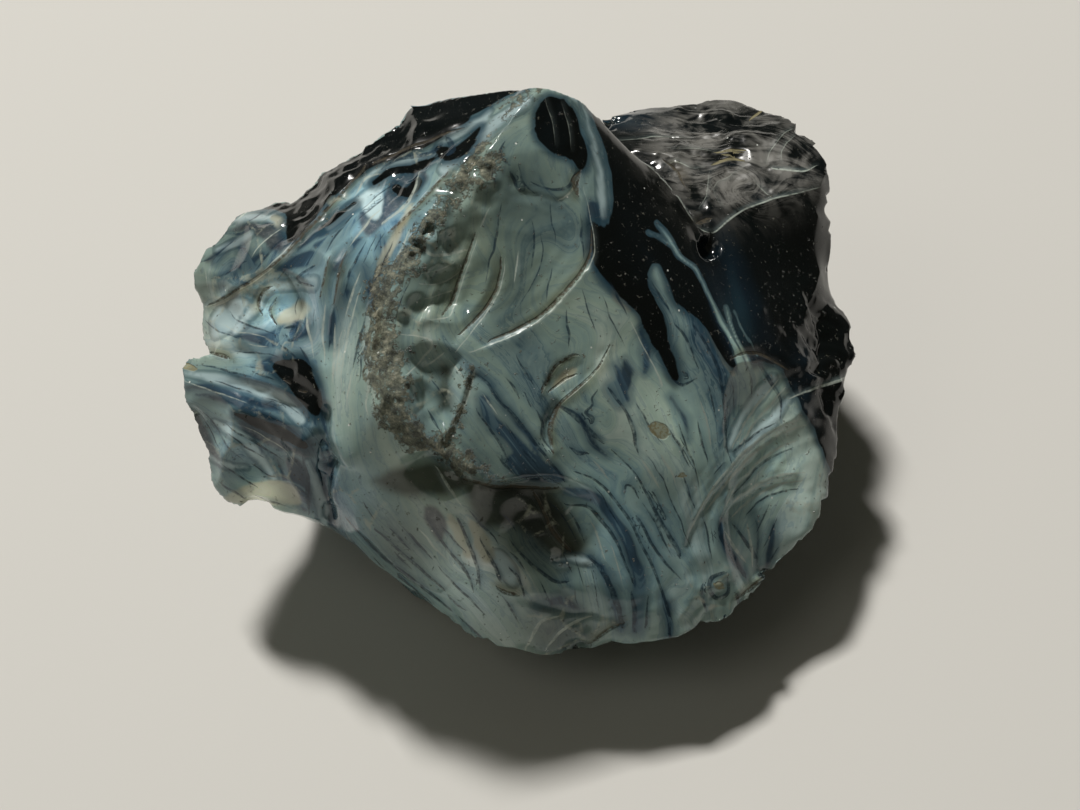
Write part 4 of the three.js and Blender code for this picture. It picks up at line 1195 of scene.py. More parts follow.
# %% List the pale lines
PALE_LINES = [
    [(12.8, 61, 0.03), (14.8, 50, 0.06), (14.3, 45, 0.1), (9.8, 38.8, 0.12), (3.8, 32.8, 0.12),
     (-2.3, 29.3, 0.12), (-7, 27.3, 0.1), (-11, 26, 0.05)],
    [(-3.8, 45.5, 0.03), (-4.8, 39, 0.08), (-8.8, 32.3, 0.1), (-13.8, 26, 0.05)],
    [(-9.3, 50.5, 0.03), (-10.8, 46, 0.08), (-13.8, 37, 0.1), (-15.3, 33.2, 0.1), (-19, 32.6, 0.05)],
    [(-18.5, 54.5, 0.1), (-19, 51, 0.25), (-20.5, 48, 0.3), (-19, 46, 0.3), (-15.5, 46, 0.25),
     (-11.5, 47.5, 0.2)],
    [(-10.2, 22, 0.2), (-11.2, 18.5, 0.4), (-13.7, 11.5, 0.45), (-16.8, 6, 0.3)],
    [(29, 19.5, 0.25), (27.5, 23, 0.12), (22.5, 32.5, 0.08)], [(26.8, 17.5, 0.3), (28.4, 19, 0.4)],
    [(-49.5, 49, 0.2), (-55.5, 43.5, 0.35), (-63, 38.5, 0.35), (-69.5, 36.5, 0.2)],
    [(0.5, -37.5, 0.15), (2, -33.5, 0.3), (4, -31, 0.3), (7.5, -30, 0.15)],
    [(5, -37.5, 0.15), (7.5, -34, 0.3), (10.5, -31.5, 0.3), (14, -30, 0.15)],
    [(43.5, -12.5, 0.1), (45.5, -15.5, 0.35), (48, -19, 0.1)],
    [(48.5, -11, 0.1), (49.5, -16, 0.3), (50, -20, 0.1)],
    [(58.5, 16.5, 0.1), (64, 18.5, 0.2), (70.5, 20.5, 0.25), (74.5, 22, 0.1)],
    # A painted highlight: the thin glint along the shoulder's front edge.
    [(38, 54, 0.05), (41.5, 53, 0.1), (45, 55.8, 0.18), (49.5, 58.7, 0.14), (53.5, 60.3, 0.14),
     (58, 62, 0.12), (67, 64.5, 0.04)],
    [(-25, 29.5, 0.05), (-19.5, 28.5, 0.18), (-19, 26.5, 0.2), (-23.5, 21.5, 0.08)],
    [(-13, 28, 0.08), (-20, 23, 0.16)],
    [(-7, 56, 0.05), (-8.5, 52.5, 0.2), (-9.5, 50, 0.25), (-11, 48.5, 0.3), (-13.5, 45.5, 0.1)],
    [(-22, 44.5, 0.05), (-17.5, 45.5, 0.1), (-13.5, 47, 0.05)],
    [(-21.5, 42, 0.05), (-17, 43, 0.1), (-12.5, 45.5, 0.05)],
    [(-21, 40, 0.05), (-16, 40.5, 0.1), (-11.5, 44, 0.05)],
    [(-20, 37, 0.05), (-15, 38.5, 0.1), (-11.5, 41, 0.05)],
    [(12, 63.5, 0.1), (10, 60, 0.2), (7.5, 58, 0.1)], [(4.5, 80, 0.02), (6, 75, 0.04), (6.5, 70, 0.02)],
    [(8, 79, 0.02), (9.5, 74, 0.04), (10, 69, 0.02)],
    # From here to the shoulder's left edge, the thin lines on the black shoulder are painted glints along
    # its fan rings, ribs, ledges and edges.
    [(55, 70, 0.02), (56, 73, 0.045), (58.5, 76, 0.045), (61, 79, 0.04), (64, 80, 0.02)],
    [(59, 70.5, 0.02), (59, 73, 0.04), (61, 76, 0.045), (63.5, 78.5, 0.02)],
    [(54, 70.5, 0.02), (56.5, 69, 0.1), (60.5, 68.5, 0.2), (64, 68.5, 0.15), (67, 70, 0.03)],
    [(42, 68.5, 0.02), (41.5, 65.5, 0.04), (40.5, 61.5, 0.04), (38.5, 58.5, 0.02)],
    [(49.5, 70, 0.02), (46.5, 67, 0.035), (43.5, 65.5, 0.035), (42.5, 62.5, 0.03), (43.5, 59.5, 0.02)],
    [(52, 65.5, 0.02), (54, 63, 0.05), (57, 61, 0.03)],
    [(18, 76, 0.02), (26, 77, 0.04), (32, 77.5, 0.05), (38.5, 77, 0.02)],
    [(33.5, 74, 0.02), (39, 74, 0.04), (45, 73, 0.02)],
    [(32.5, 70, 0.02), (34.5, 70.5, 0.1), (38, 69, 0.04), (41.5, 69.5, 0.03)],
    [(17.5, 75.5, 0.03), (21, 72.5, 0.07), (24, 69.5, 0.08), (30, 64.5, 0.08), (34, 59.5, 0.1),
     (37.5, 54.5, 0.05)],
    [(61, 12, 0.1), (56, 10.4, 0.25), (51, 7.6, 0.3), (46.5, 4, 0.3), (42, -1, 0.25), (38, -6.8, 0.2),
     (35.5, -12, 0.1)],
    [(62, 10.6, 0.1), (56.5, 8.8, 0.3), (51.5, 5.6, 0.35), (47, 2, 0.35), (42.7, -2.9, 0.3),
     (39.3, -7.5, 0.1)],
    [(60, 7.2, 0.1), (55, 5.2, 0.25), (50.5, 2, 0.3), (46.6, -1.8, 0.2), (43.8, -6, 0.1)],
    [(61.5, 0.2, 0.1), (56.5, -0.4, 0.25), (52, -1.8, 0.3), (47.5, -4.4, 0.3), (44.5, -6.6, 0.1)],
    [(61, -1.6, 0.1), (56.5, -2.3, 0.25), (52.3, -3.8, 0.3), (48, -6.4, 0.25), (45, -9, 0.1)],
    [(55.5, 20.5, 0.1), (51.8, 16.2, 0.25), (47.2, 10.2, 0.25), (45, 6, 0.1)],
    [(57.2, 18.8, 0.1), (53.6, 14.8, 0.25), (48.8, 9.4, 0.25), (45.8, 5, 0.1)],
    [(-36, 60, 0.1), (-34, 63.5, 0.3), (-31, 64.5, 0.1)],
    [(-22, 64, 0.1), (-24, 57.5, 0.3), (-29, 53, 0.2)],
]
print("listed", len(PALE_LINES), "pale lines")

# %% List the brown lines and the ochre spots
BROWN_LINES = [
    [(18, 27.5, 0.1), (16.5, 24, 0.15), (14.5, 21.5, 0.2), (12, 19, 0.25), (8, 16, 0.3), (6.5, 13.5, 0.45),
     (5.5, 10, 0.45), (6, 5.5, 0.2)],
    [(11.5, 25.5, 0.1), (10, 25.5, 0.2), (7.5, 24, 0.3), (5.5, 21.5, 0.3), (4, 18, 0.2)],
    [(5, 17.5, 0.1), (8, 20, 0.2), (11, 21.5, 0.1)],
    [(7, -2.2, 0.2), (1.5, -2.2, 0.3), (-6, -1.8, 0.35), (-12, -0.5, 0.2)],
    [(-7, 28.2, 0.1), (-3, 30, 0.2), (3.5, 33.5, 0.3), (9.3, 39.3, 0.35), (13.7, 45.5, 0.25),
     (14.2, 52, 0.1)],
    [(-13, 29.5, 0.1), (-9.4, 33, 0.25), (-5.5, 39, 0.25), (-4.5, 45.5, 0.1)],
    [(-16.5, 33.6, 0.1), (-14.5, 37, 0.25), (-11.6, 46, 0.2), (-10, 50.5, 0.1)],
    [(0.5, -2, 0.2), (3, -5, 0.3), (6, -11.5, 0.4), (9.5, -15.5, 0.3)],
    [(-34, 66.5, 0.2), (-45, 54, 0.35), (-52.5, 45.5, 0.3), (-61.5, 40, 0.25), (-69, 37, 0.15)],
    [(-13, 74, 0.1), (-22, 71, 0.25), (-32, 67.2, 0.2)],
    [(-50.5, 20, 0.1), (-49.7, 19.7, 0.2)],
    [(-47, 18, 0.15), (-45.8, 17.7, 0.2)],
    [(-56.5, 34.5, 0.15), (-57, 37, 0.35), (-55.5, 39.5, 0.3), (-54, 40, 0.15)],
    [(-68, 26.5, 0.2), (-65, 25.5, 0.4), (-64, 25, 0.2)],
    [(-16, 63.5, 0.2), (-21.5, 57, 0.4), (-27.5, 51, 0.2)],
    [(-40.5, 46, 0.1), (-41.5, 42.5, 0.3), (-42.5, 38, 0.1)],
    [(-37, 47, 0.1), (-38.5, 42, 0.25), (-39.5, 36, 0.1)],
    [(-53, 37.5, 0.1), (-54.5, 35, 0.3), (-53, 32.5, 0.15)],
    [(-29, 48, 0.15), (-26.5, 52, 0.35), (-24, 56.5, 0.15)],
    [(-31, 36, 0.1), (-30, 31, 0.3), (-30.5, 26, 0.1)],
    [(-5.5, -23.5, 0.2), (-4, -24.5, 0.45), (-1.5, -25, 0.2)],
    [(14, -36, 0.15), (17.5, -33.5, 0.35), (21, -31.5, 0.2)], [(38, 55, 0.3), (40.5, 56, 0.5)],
    [(44.5, 24.8, 0.1), (48, 26.2, 0.3), (52.5, 25.7, 0.3), (58, 23, 0.1)],
    [(11.5, 59.5, 0.3), (11, 62, 0.8), (12, 64, 0.3)],
    [(32, 71, 0.1), (34.5, 68, 0.3), (36, 64, 0.1)], [(46, -27, 0.2), (50, -24.5, 0.4), (54, -22, 0.2)],
]
OCHRE_LINES = [
    [(28, 10, 1.6), (29, 9.6, 1.7)],
    [(33.5, 0, 0.6), (33.6, 0, 0.6)],
    [(42, -23.7, 0.8), (42.2, -23.8, 0.8)],
    [(44, 73, 0.1), (47, 73.5, 0.3), (50.5, 73.5, 0.1)], [(53, 82.5, 0.1), (55, 84, 0.3), (56.5, 85, 0.1)],
    [(-75, 24, 0.8), (-72, 23, 0.6)], [(43, 70, 0.2), (47, 71.5, 0.3), (50, 71, 0.1)],
]
print("listed", len(BROWN_LINES), "brown lines and", len(OCHRE_LINES), "ochre spots")

# %% Let more lines follow the flow, with room between them
# Each patch: (across, up, radius, how many to try, length, room between).
HAIR_PATCHES = [
    (22, -12, 15, 90, 30, 1.5), (4, 10, 11, 50, 18, 1.6), (-12, -18, 13, 70, 20, 1.4),
    (-28, -18, 11, 50, 20, 1.4), (4, 46, 16, 26, 20, 3.2), (-34, 36, 15, 110, 24, 1.1),
    (-30, 58, 11, 50, 16, 1.2), (-54, 32, 12, 60, 22, 1.2), (-58, 16, 12, 40, 18, 1.4),
    (48, 6, 13, 60, 16, 1.3), (50, -15, 11, 50, 14, 1.3), (32, 8, 10, 16, 18, 2.6),
    (-60, 2, 12, 40, 16, 1.8), (24, 34, 8, 14, 14, 2.2), (10, -31, 12, 20, 12, 2),
    (-60, 46, 12, 26, 14, 2.2), (36, -6, 9, 20, 20, 2), (-16, 18, 8, 16, 12, 1.8),
]
taken = depth_in(grid.reshape(-1, 2), INLAYS["black"]).reshape(grid.shape[:2]) > 0


def grid_place(spot):
    """The column and the row of the board's grid that a spot lies in."""
    return ((spot[:2] - GRID_FROM) / GRID_CELL).astype(int)


def stamp(line, room):
    """Mark the board as taken around each point of a line."""
    for spot in line:
        column, row = grid_place(spot)
        wide = int(room / GRID_CELL) + 1
        window = (slice(row - wide, row + wide + 1), slice(column - wide, column + wide + 1))
        taken[window] |= ((grid[window] - spot[:2]) ** 2).sum(axis=-1) < room**2


def follow_flow(start, length, step=0.8):
    """The path of a drop of glass that starts here and is carried both ways, until it meets a line."""
    halves = []
    for way in (-1, 1):
        at = np.array([start])
        half = []
        for i in range(int(length / 2 / step)):
            at = at + way * step * read_grid(flow, at)
            column, row = grid_place(at[0])
            if taken[row, column]:
                break
            half.append(at[0])
        halves.append(half)
    return halves[0][::-1] + [start] + halves[1]


def spaced(lines, room=1.4):
    """Smooth curves through the lines, cut short where one would come too near an earlier one."""
    curves = []
    spots = np.array([[math.inf, math.inf]])
    for line in lines:
        curve = curve_through(line, 4)
        crowded = np.linalg.norm(curve[:, None, :2] - spots, axis=2).min(axis=1) < room
        runs = np.split(curve, np.nonzero(crowded)[0])
        curves += [run[1:] if i else run for i, run in enumerate(runs) if len(run) > 3]
        spots = np.vstack([spots, curve[:, :2]])
    return curves


ink_curves = spaced(INK_LINES)
pale_curves = spaced(PALE_LINES)
brown_curves = spaced(BROWN_LINES)
ochre_curves = spaced(OCHRE_LINES)
for curve in ink_curves + pale_curves + brown_curves:
    stamp(curve, 1.5)
print("room left for hairlines on", round(100 * (1 - taken.mean())), "% of the board")

# %% Draw the hairlines
PALE_SHARE = 0.35
SHORTEST = 7
SHAKE = 0.12
rng = np.random.default_rng(21)

hairs = {"ink": [], "pale": []}
for patch_across, patch_up, radius, tries, length, room in HAIR_PATCHES:
    for i in range(tries):
        angle = 2 * math.pi * rng.random()
        away = radius * math.sqrt(rng.random())
        start = np.array((patch_across + away * math.cos(angle), patch_up + away * math.sin(angle)))
        widest = 0.08 + 0.2 * rng.random()
        wish = rng.random()
        kind = "pale" if rng.random() < PALE_SHARE else "ink"
        column, row = grid_place(start)
        path = [] if taken[row, column] else follow_flow(start, length * (0.4 + 0.8 * wish))
        if len(path) < SHORTEST:
            continue
        stamp(path, room)
        # Half of them run down the flow and half run up it, so that their shades fall on both sides.
        path = np.array(path[::3] if wish < 0.5 else path[::-3])
        nib = widest * np.sin(np.linspace(0.15, math.pi - 0.15, len(path)))
        shaken = path + SHAKE * rng.normal(size=path.shape)
        hairs[kind].append(curve_through(np.column_stack([shaken, nib]), 4))
print("hairlines:", len(hairs["ink"]), "dark and", len(hairs["pale"]), "pale")

# %% Measure the way to them
FULL_SHADE_NIB = 0.25


def pen_marks(places, curves, fade, reach=2.8):
    """For each place: the distance to the nearest curve, with its side as a sign, the curve's half
    width there, the plain distance, and how strong the shade is that fades away on the left."""
    found = np.zeros((len(places), 4))
    found[:, 2] = reach
    best = np.full(len(places), float(reach))
    for curve in curves:
        near = within_reach(places, curve, reach)
        here = places[near]
        for a, b in zip(curve, curve[1:]):
            gap, way, side = from_piece(here, a, b)
            nib = a[2] + (b[2] - a[2]) * way
            closer = gap - nib < best[near]
            chosen = near[closer]
            best[chosen] = (gap - nib)[closer]
            found[chosen, :3] = np.stack([side * gap, nib, gap], axis=1)[closer]
            shade = (side > 0) * smoothstep(fade, 0, gap) * np.clip(nib / FULL_SHADE_NIB, 0, 1)
            found[near, 3] = np.maximum(found[near, 3], shade)
    found[:, (1, 3)] *= shown[:, None]
    return found


penned = places + 0.3 * wobble
ink_pen = pen_marks(penned, ink_curves + hairs["ink"], 1.6)
pale_pen = pen_marks(penned, pale_curves + hairs["pale"], 1.3)
brown_pen = pen_marks(penned, brown_curves + ochre_curves, 2.8)
ochre = (pen_marks(penned, ochre_curves, 1)[:, 2] < 2.5).astype(float)
print("lines cross", round(100 * (ink_pen[:, 2] < 0.5).mean(), 1), "% of the skin")

# %% [markdown]
# ## Patches of mood
# Last, whole patches of the lump are darker or paler, bluer or greener, smoky, or calm. Many of the darker
# and paler ones are painted light and shade, and on the black a smoky patch is a painted sheen. They could
# be tinted one by one as inlays are. Here they only shift the other marks, so their borders never show.

# %% Set the mood, the tone and the painted light and shade of each patch
# Each patch: (across, up, radius, deeper, bluer, smoky, calmer). Deeper goes down the scale of glass, and
# on the black a smoky patch is a grey film, a painted sheen of the light on the shoulder.
PATCHES = [
    (3, 45, 20, 0.25, -0.3, 0, 0.7), (-10, 40, 12, 0.2, -0.4, 0, 0.4), (30, 14, 15, -0.2, -0.15, 0, 0.5),
    (22, -14, 18, 0, 0.55, 0, -0.3), (5, -14, 9, 0.7, -0.4, 0.3, 0), (-20, 2, 8, 0.6, -0.5, 0.2, 0.4),
    (-20, -18, 16, -0.2, 0.1, 0, -0.1), (-36, 30, 14, -0.8, -0.1, 0, -0.1),
    (-30, 56, 12, 0.5, 0.8, 0, -0.5), (-50, 34, 12, -0.4, 0.8, 0, -0.5),
    (-62, 44, 12, -0.1, 0, 0.1, 0.1), (-55, 18, 9, 0.4, 0.5, 0, -0.2), (-58, 2, 14, 0, 0.2, 0.05, -0.2),
    (-38, -4, 9, 0.1, 0.7, 0, -0.3), (48, 4, 14, -0.2, 0, 0, 0.1), (52, -14, 12, -0.1, 0.2, 0, -0.2),
    (44, 74, 17, 0, -0.2, 1.3, 0), (62, 70, 11, 0, -0.2, 0.6, 0), (71, 18, 9, 0, -0.2, 0.05, 0),
    (5, -34, 9, 0.1, 0, 0.1, -0.1), (8, 74, 7, 0, -0.2, 0, 0), (-14, 20, 10, 0.2, 0.2, 0, 0),
    (-48, 63, 10, 0, -0.1, 0.35, 0), (-66, 30, 7, -1, -0.1, 0.1, 0.2), (-8, -24, 9, -0.6, 0.2, 0, -0.1),
    (-56, -6, 6, -1, -0.2, 0.1, 0.3), (-24, 78, 10, 0, -0.2, 0.1, 0), (-36, 42, 9, 0.3, 0.4, 0, -0.4),
]
# Each tone patch: (across, up, radius, doublings of brightness). These are painted light and shade: the
# brightness that light and shade give each patch is put into the colour, together with the glass's own
# tone.
LIGHT_AND_TONE_PATCHES = [
    (33, 11, 10, 1.15), (15, -4, 8, 1.2), (24, -24, 10, 0.4), (2, 51, 14, -0.55), (-2, 37, 8, -0.72),
    (-20, 30, 8, -0.2), (-19, 44, 7, -0.1), (-38, 20, 9, 0.4), (-36, 40, 8, -0.72), (-34, 57, 11, 0.75),
    (-54, 37, 6, 2.0), (-64, 33, 6, 0.25), (-61, 47, 9, -1.0), (-50, 21, 5, -0.4), (-57, -4, 5, 1.7),
    (-26, -14, 7, -0.8), (-13, -22, 8, 0.75), (1, -8, 8, -1.4), (8, -34, 7, -1.5), (52, 9, 9, 0.8),
    (57, -3, 8, 0.85), (7, 66, 7, -0.4), (-12, 12, 7, -0.3), (-9, 70, 8, -0.4), (-60, 11, 7, 1.1),
    (44, 30, 7, 0.4), (-42, -5, 6, -0.3), (14, 28, 8, 0.15), (34, 49, 8, 0.9), (46, 30, 6, 0.4),
]
print("set", len(PATCHES), "patches of mood and", len(LIGHT_AND_TONE_PATCHES), "of tone")

# %% Add them up
# The hidden sides are a little darker, and get their moods from noise.
TONE_BEHIND = -0.35
CALM_BEHIND = -0.4
# The noise of each mood: (strength, size, shift).
MOODS_BEHIND = [(1.6, 30, 5.1), (1.4, 24, 6.1), (0.4, 26, 7.1)]

mood = np.zeros((len(points), 4))
for row in PATCHES:
    mood += patch(places, *row[:3])[:, None] * np.array(row[3:])
mood *= shown[:, None]
for i, (strength, size, shift) in enumerate(MOODS_BEHIND):
    mood[:, i] += hidden * strength * soft_noise(points, size, shift)
mood[:, 3] += hidden * CALM_BEHIND
painted_light_and_tone = np.zeros(len(points))
for *area, doublings in LIGHT_AND_TONE_PATCHES:
    painted_light_and_tone += doublings * patch(places, *area)
painted_light_and_tone = painted_light_and_tone * shown + TONE_BEHIND * hidden
print("tone from", painted_light_and_tone.min().round(2), "to", painted_light_and_tone.max().round(2), "doublings")

# %% Keep all of it with the points
EDGE_ROUNDS = 3


def keep(name, *columns):
    """Store three numbers with each point of the skin."""
    attribute = skin.attributes.new(name, "FLOAT_VECTOR", "POINT")
    values = np.stack([np.broadcast_to(column, len(points)) for column in columns], axis=1)
    attribute.data.foreach_set("vector", values.astype(np.float32).ravel())


edge = standing_proud(EDGE_ROUNDS)
keep("streaks", *streaks.T)
keep("dark_inlays", depths["black"], depths["navy"], depths["purple"])
keep("light_inlays", depths["pale"], depths["cream"], depths["olive"])
keep("ink_pen", *ink_pen[:, :3].T)
keep("pale_pen", *pale_pen[:, :3].T)
keep("brown_pen", *brown_pen[:, :3].T)
keep("pen_shades", ink_pen[:, 3], pale_pen[:, 3], brown_pen[:, 3])
keep("mood", *mood[:, :3].T)
keep("soil", crust, edge, mood[:, 3])
keep("more", ochre, crest, painted_light_and_tone)
print("edge from", round(edge.min(), 2), "to", round(edge.max(), 2), "mm")

# %% [markdown]
# ## The finish
# The glass is opaque, so its colour lies at the surface and the gloss lies over it. It could be painted
# on an image. Here it is worked out by nodes from the values kept with the points: the streaks choose
# a glass from a scale that runs from ink to pale teal, and the marks are laid over that.

# %% Helpers that calculate
glass = bpy.data.materials.new("marbled_glass")
glass.use_nodes = True
tree = glass.node_tree
shader = tree.nodes["Principled BSDF"]


def put(socket, value):
    """Give a socket a plain value, or link it to another node's output."""
    if isinstance(value, bpy.types.NodeSocket):
        tree.links.new(value, socket)
    else:
        socket.default_value = value


def calc(operation, *values, clamp=False):
    step = tree.nodes.new("ShaderNodeMath")
    step.operation = operation
    step.use_clamp = clamp
    for socket, value in zip(step.inputs, values):
        put(socket, value)
    return step.outputs[0]


def times(first, *others, clamp=False):
    for other in others:
        first = calc("MULTIPLY", first, other, clamp=clamp)
    return first


def plus(first, *others, clamp=False):
    for other in others:
        first = calc("ADD", first, other, clamp=clamp)
    return first


def rest_of(share, clamp=False):
    """What is left of 1."""
    return calc("SUBTRACT", 1, share, clamp=clamp)


print(len(tree.nodes), "nodes so far")


# %% Helpers for soft steps and colours
def between(value, low, high):
    """0 below low, 1 above high and a soft step between them."""
    step = tree.nodes.new("ShaderNodeMapRange")
    step.interpolation_type = "SMOOTHSTEP"
    put(step.inputs["Value"], value)
    put(step.inputs["From Min"], low)
    put(step.inputs["From Max"], high)
    return step.outputs["Result"]


def blend(amount, under, over, way="MIX"):
    """Lay one colour over another, as far as amount says. A colour may be a node's output."""
    step = tree.nodes.new("ShaderNodeMix")
    step.data_type = "RGBA"
    step.blend_type = way
    put(step.inputs[0], amount)
    put(step.inputs[6], under if isinstance(under, bpy.types.NodeSocket) else (*under, 1))
    put(step.inputs[7], over if isinstance(over, bpy.types.NodeSocket) else (*over, 1))
    return step.outputs[2]


def scale_of_colours(value, stops):
    """A colour ramp. Each stop is a place from 0 to 1 and a colour."""
    step = tree.nodes.new("ShaderNodeValToRGB")
    marks = step.color_ramp.elements
    while len(marks) < len(stops):
        marks.new(0.5)
    for mark, (place, colour) in zip(marks, stops):
        mark.position = place
        mark.color = (*colour, 1)
    put(step.inputs["Fac"], value)
    return step.outputs["Color"]


print(len(tree.nodes), "nodes so far")


# %% Helpers that read the points and make grain
def kept(name):
    step = tree.nodes.new("ShaderNodeAttribute")
    step.attribute_name = name
    return step


def parts_of(name):
    """The three numbers of a kept vector."""
    step = tree.nodes.new("ShaderNodeSeparateXYZ")
    put(step.inputs[0], kept(name).outputs["Vector"])
    return step.outputs[0], step.outputs[1], step.outputs[2]


object_place = tree.nodes.new("ShaderNodeTexCoord").outputs["Object"]


def grain(size, detail=2, rough=0.5, place=None, twist=0):
    """Noise from 0 to 1, in lumps of about this many millimetres."""
    step = tree.nodes.new("ShaderNodeTexNoise")
    put(step.inputs["Vector"], object_place if place is None else place)
    put(step.inputs["Scale"], 1000 / size if place is None else 1 / size)
    step.inputs["Detail"].default_value = detail
    step.inputs["Roughness"].default_value = rough
    step.inputs["Distortion"].default_value = twist
    return step.outputs["Fac"]


def about_zero(value, strength):
    """Noise from 0 to 1, turned into -strength to +strength."""
    return times(calc("SUBTRACT", value, 0.5), 2 * strength)


print(len(tree.nodes), "nodes so far")


# %% Choose the glass from the streaks
broad, fine, long = parts_of("streaks")
darker, bluer, smoke_and_sheen = parts_of("mood")
crust_amount, edge_height, calm = parts_of("soil")
is_ochre, crest_amount, doublings = parts_of("more")

# The three streak fields together are a place in a space of their own. Noise in that space follows the
# flow as they do, and is far finer than they are.
streak_space = kept("streaks").outputs["Vector"]
veins = grain(0.9, 3, 0.55, streak_space)
tone = plus(times(broad, 0.42), times(long, 0.4), times(fine, 0.26))
tone = plus(tone, about_zero(veins, 0.8), about_zero(grain(2.2, 3), 0.25))
tone = times(tone, rest_of(times(calm, 0.6), clamp=True))
tone = calc("SUBTRACT", tone, times(darker, 0.75))
place_on_scale = calc("MULTIPLY_ADD", tone, 0.225, 0.585)
# Each stream of glass has one sharp side and one that fades, so the scale climbs slowly and drops back.
GLASS_SCALE = [
    (0.00, (0.010, 0.024, 0.038)), (0.14, (0.016, 0.040, 0.064)), (0.22, (0.050, 0.100, 0.140)),
    (0.255, (0.110, 0.170, 0.200)), (0.262, (0.024, 0.055, 0.085)), (0.30, (0.070, 0.130, 0.165)),
    (0.345, (0.150, 0.230, 0.250)), (0.352, (0.060, 0.115, 0.150)), (0.385, (0.140, 0.220, 0.240)),
    (0.43, (0.200, 0.290, 0.290)), (0.436, (0.115, 0.190, 0.215)), (0.46, (0.180, 0.270, 0.275)),
    (0.53, (0.230, 0.330, 0.310)), (0.58, (0.250, 0.345, 0.310)), (0.585, (0.190, 0.280, 0.280)),
    (0.62, (0.250, 0.350, 0.325)), (0.68, (0.285, 0.380, 0.335)), (0.72, (0.315, 0.410, 0.365)),
    (0.725, (0.235, 0.320, 0.310)), (0.76, (0.315, 0.410, 0.375)), (0.83, (0.390, 0.475, 0.430)),
    (0.84, (0.290, 0.385, 0.380)), (0.90, (0.450, 0.530, 0.480)), (1.00, (0.600, 0.640, 0.580)),
]
colour = scale_of_colours(place_on_scale, GLASS_SCALE)

print("the scale of glass has", len(GLASS_SCALE), "stops")

# %% Tint the patches
def tint(colour, amount, factors):
    """Multiply the colour by these factors, as far as amount says."""
    return blend(amount, colour, blend(1, colour, factors, "MULTIPLY"))


BLUER = (0.74, 1.02, 1.42)
GREENER = (1.08, 1.0, 0.84)
SMOKY = (1.02, 0.92, 0.86)
colour = tint(colour, times(bluer, 0.9, clamp=True), BLUER)
colour = tint(colour, times(bluer, -1.2, clamp=True), GREENER)
colour = tint(colour, times(smoke_and_sheen, 0.8, clamp=True), SMOKY)
print(len(tree.nodes), "nodes so far")

# %% Lay the painted shade of the hollows, then the light and the coloured inlays over it
black_depth, navy_depth, purple_depth = parts_of("dark_inlays")
pale_depth, cream_depth, olive_depth = parts_of("light_inlays")
pits = grain(0.8, 4, 0.7)
raggedness = plus(times(fine, 0.25), about_zero(veins, 0.5))


def inlay(colour, depth, glass_colour, start, end, most):
    """Cover the colour where the depth, with a ragged border, lies between start and end."""
    return blend(times(between(plus(depth, raggedness), start, end), most), colour, glass_colour)


# Painted shade: dark olive in the hollows.
colour = inlay(colour, olive_depth, (0.032, 0.037, 0.022), -1.6, 1.2, 0.85)
purple_glass = scale_of_colours(grain(1.5, 3, 0.7), [
    (0.35, (0.026, 0.028, 0.040)), (0.55, (0.058, 0.060, 0.072)), (0.7, (0.130, 0.135, 0.145)),
])
colour = inlay(colour, purple_depth, purple_glass, -0.8, 0.6, 0.85)
stirred_in = plus(calc("MULTIPLY_ADD", fine, 0.16, 0.5), about_zero(veins, 0.5))
navy_glass = scale_of_colours(stirred_in, [
    (0.2, (0.008, 0.020, 0.038)), (0.45, (0.014, 0.034, 0.062)), (0.60, (0.030, 0.070, 0.115)),
    (0.62, (0.075, 0.140, 0.185)), (0.80, (0.140, 0.220, 0.240)),
])
# Navy fades out into a paler blue, and the pale glass has a dark rim.
colour = inlay(colour, navy_depth, (0.070, 0.125, 0.150), -1.9, -0.4, 0.55)
colour = inlay(colour, navy_depth, navy_glass, -0.5, 0.4, 0.88)
colour = inlay(colour, pale_depth, (0.030, 0.065, 0.090), -1.3, -0.9, 0.45)
colour = inlay(colour, pale_depth, (0.40, 0.52, 0.54), -0.75, 0.35, 0.82)
colour = inlay(colour, cream_depth, (0.42, 0.42, 0.32), -0.7, 0.4, 0.75)
print("laid in", len(INLAYS) - 1, "coloured glasses")

# %% Even out the tones with painted light and shade, then lay the black glass over them
colour = blend(1, colour, calc("POWER", 2, doublings), "MULTIPLY")
ink = scale_of_colours(calc("MULTIPLY_ADD", broad, 0.25, 0.5), [
    (0.2, (0.0016, 0.0028, 0.0030)), (0.6, (0.0020, 0.0040, 0.0050)), (0.85, (0.0050, 0.0120, 0.0190)),
    (1.0, (0.0120, 0.0300, 0.0420)),
])
colour = inlay(colour, black_depth, (0.020, 0.052, 0.075), -2.2, -0.3, 0.85)
colour = inlay(colour, black_depth, ink, -0.3, 0.12, 1)
print(len(tree.nodes), "nodes so far")

# %% Lay the grey film over the shoulder, where it is a painted sheen
# On the shoulder this grey is a painted reflection: the sheen of the light on its top, put into the colour.
# Faint patches elsewhere are a smoky film.
sheen_bands = plus(grain(7, 4, 0.55, twist=0.5), about_zero(grain(0.5, 3, 0.5, streak_space), 0.25))
sheen_and_film = times(between(smoke_and_sheen, 0.1, 1.1), between(sheen_bands, 0.36, 0.66))
colour = blend(times(sheen_and_film, 0.85), colour, (0.190, 0.186, 0.172))
print(len(tree.nodes), "nodes so far")

# %% Draw the lines with their pens
def pen(name, shade, soft):
    """How much of a line there is here, how much of the shade on its left, and how far off it is."""
    side, nib, gap = parts_of(name)
    presence = between(nib, 0.01, 0.06)
    near = calc("LESS_THAN", calc("SUBTRACT", gap, nib), 0.45)
    line = between(calc("SUBTRACT", nib, calc("ABSOLUTE", side)), -soft, soft * 0.6)
    # Close to the line the shade ends sharply on it; further off it only fades.
    shade = times(shade, calc("MAXIMUM", between(side, -0.1, 0.1), between(gap, 0.5, 0.9)))
    return times(line, near, presence), shade, gap


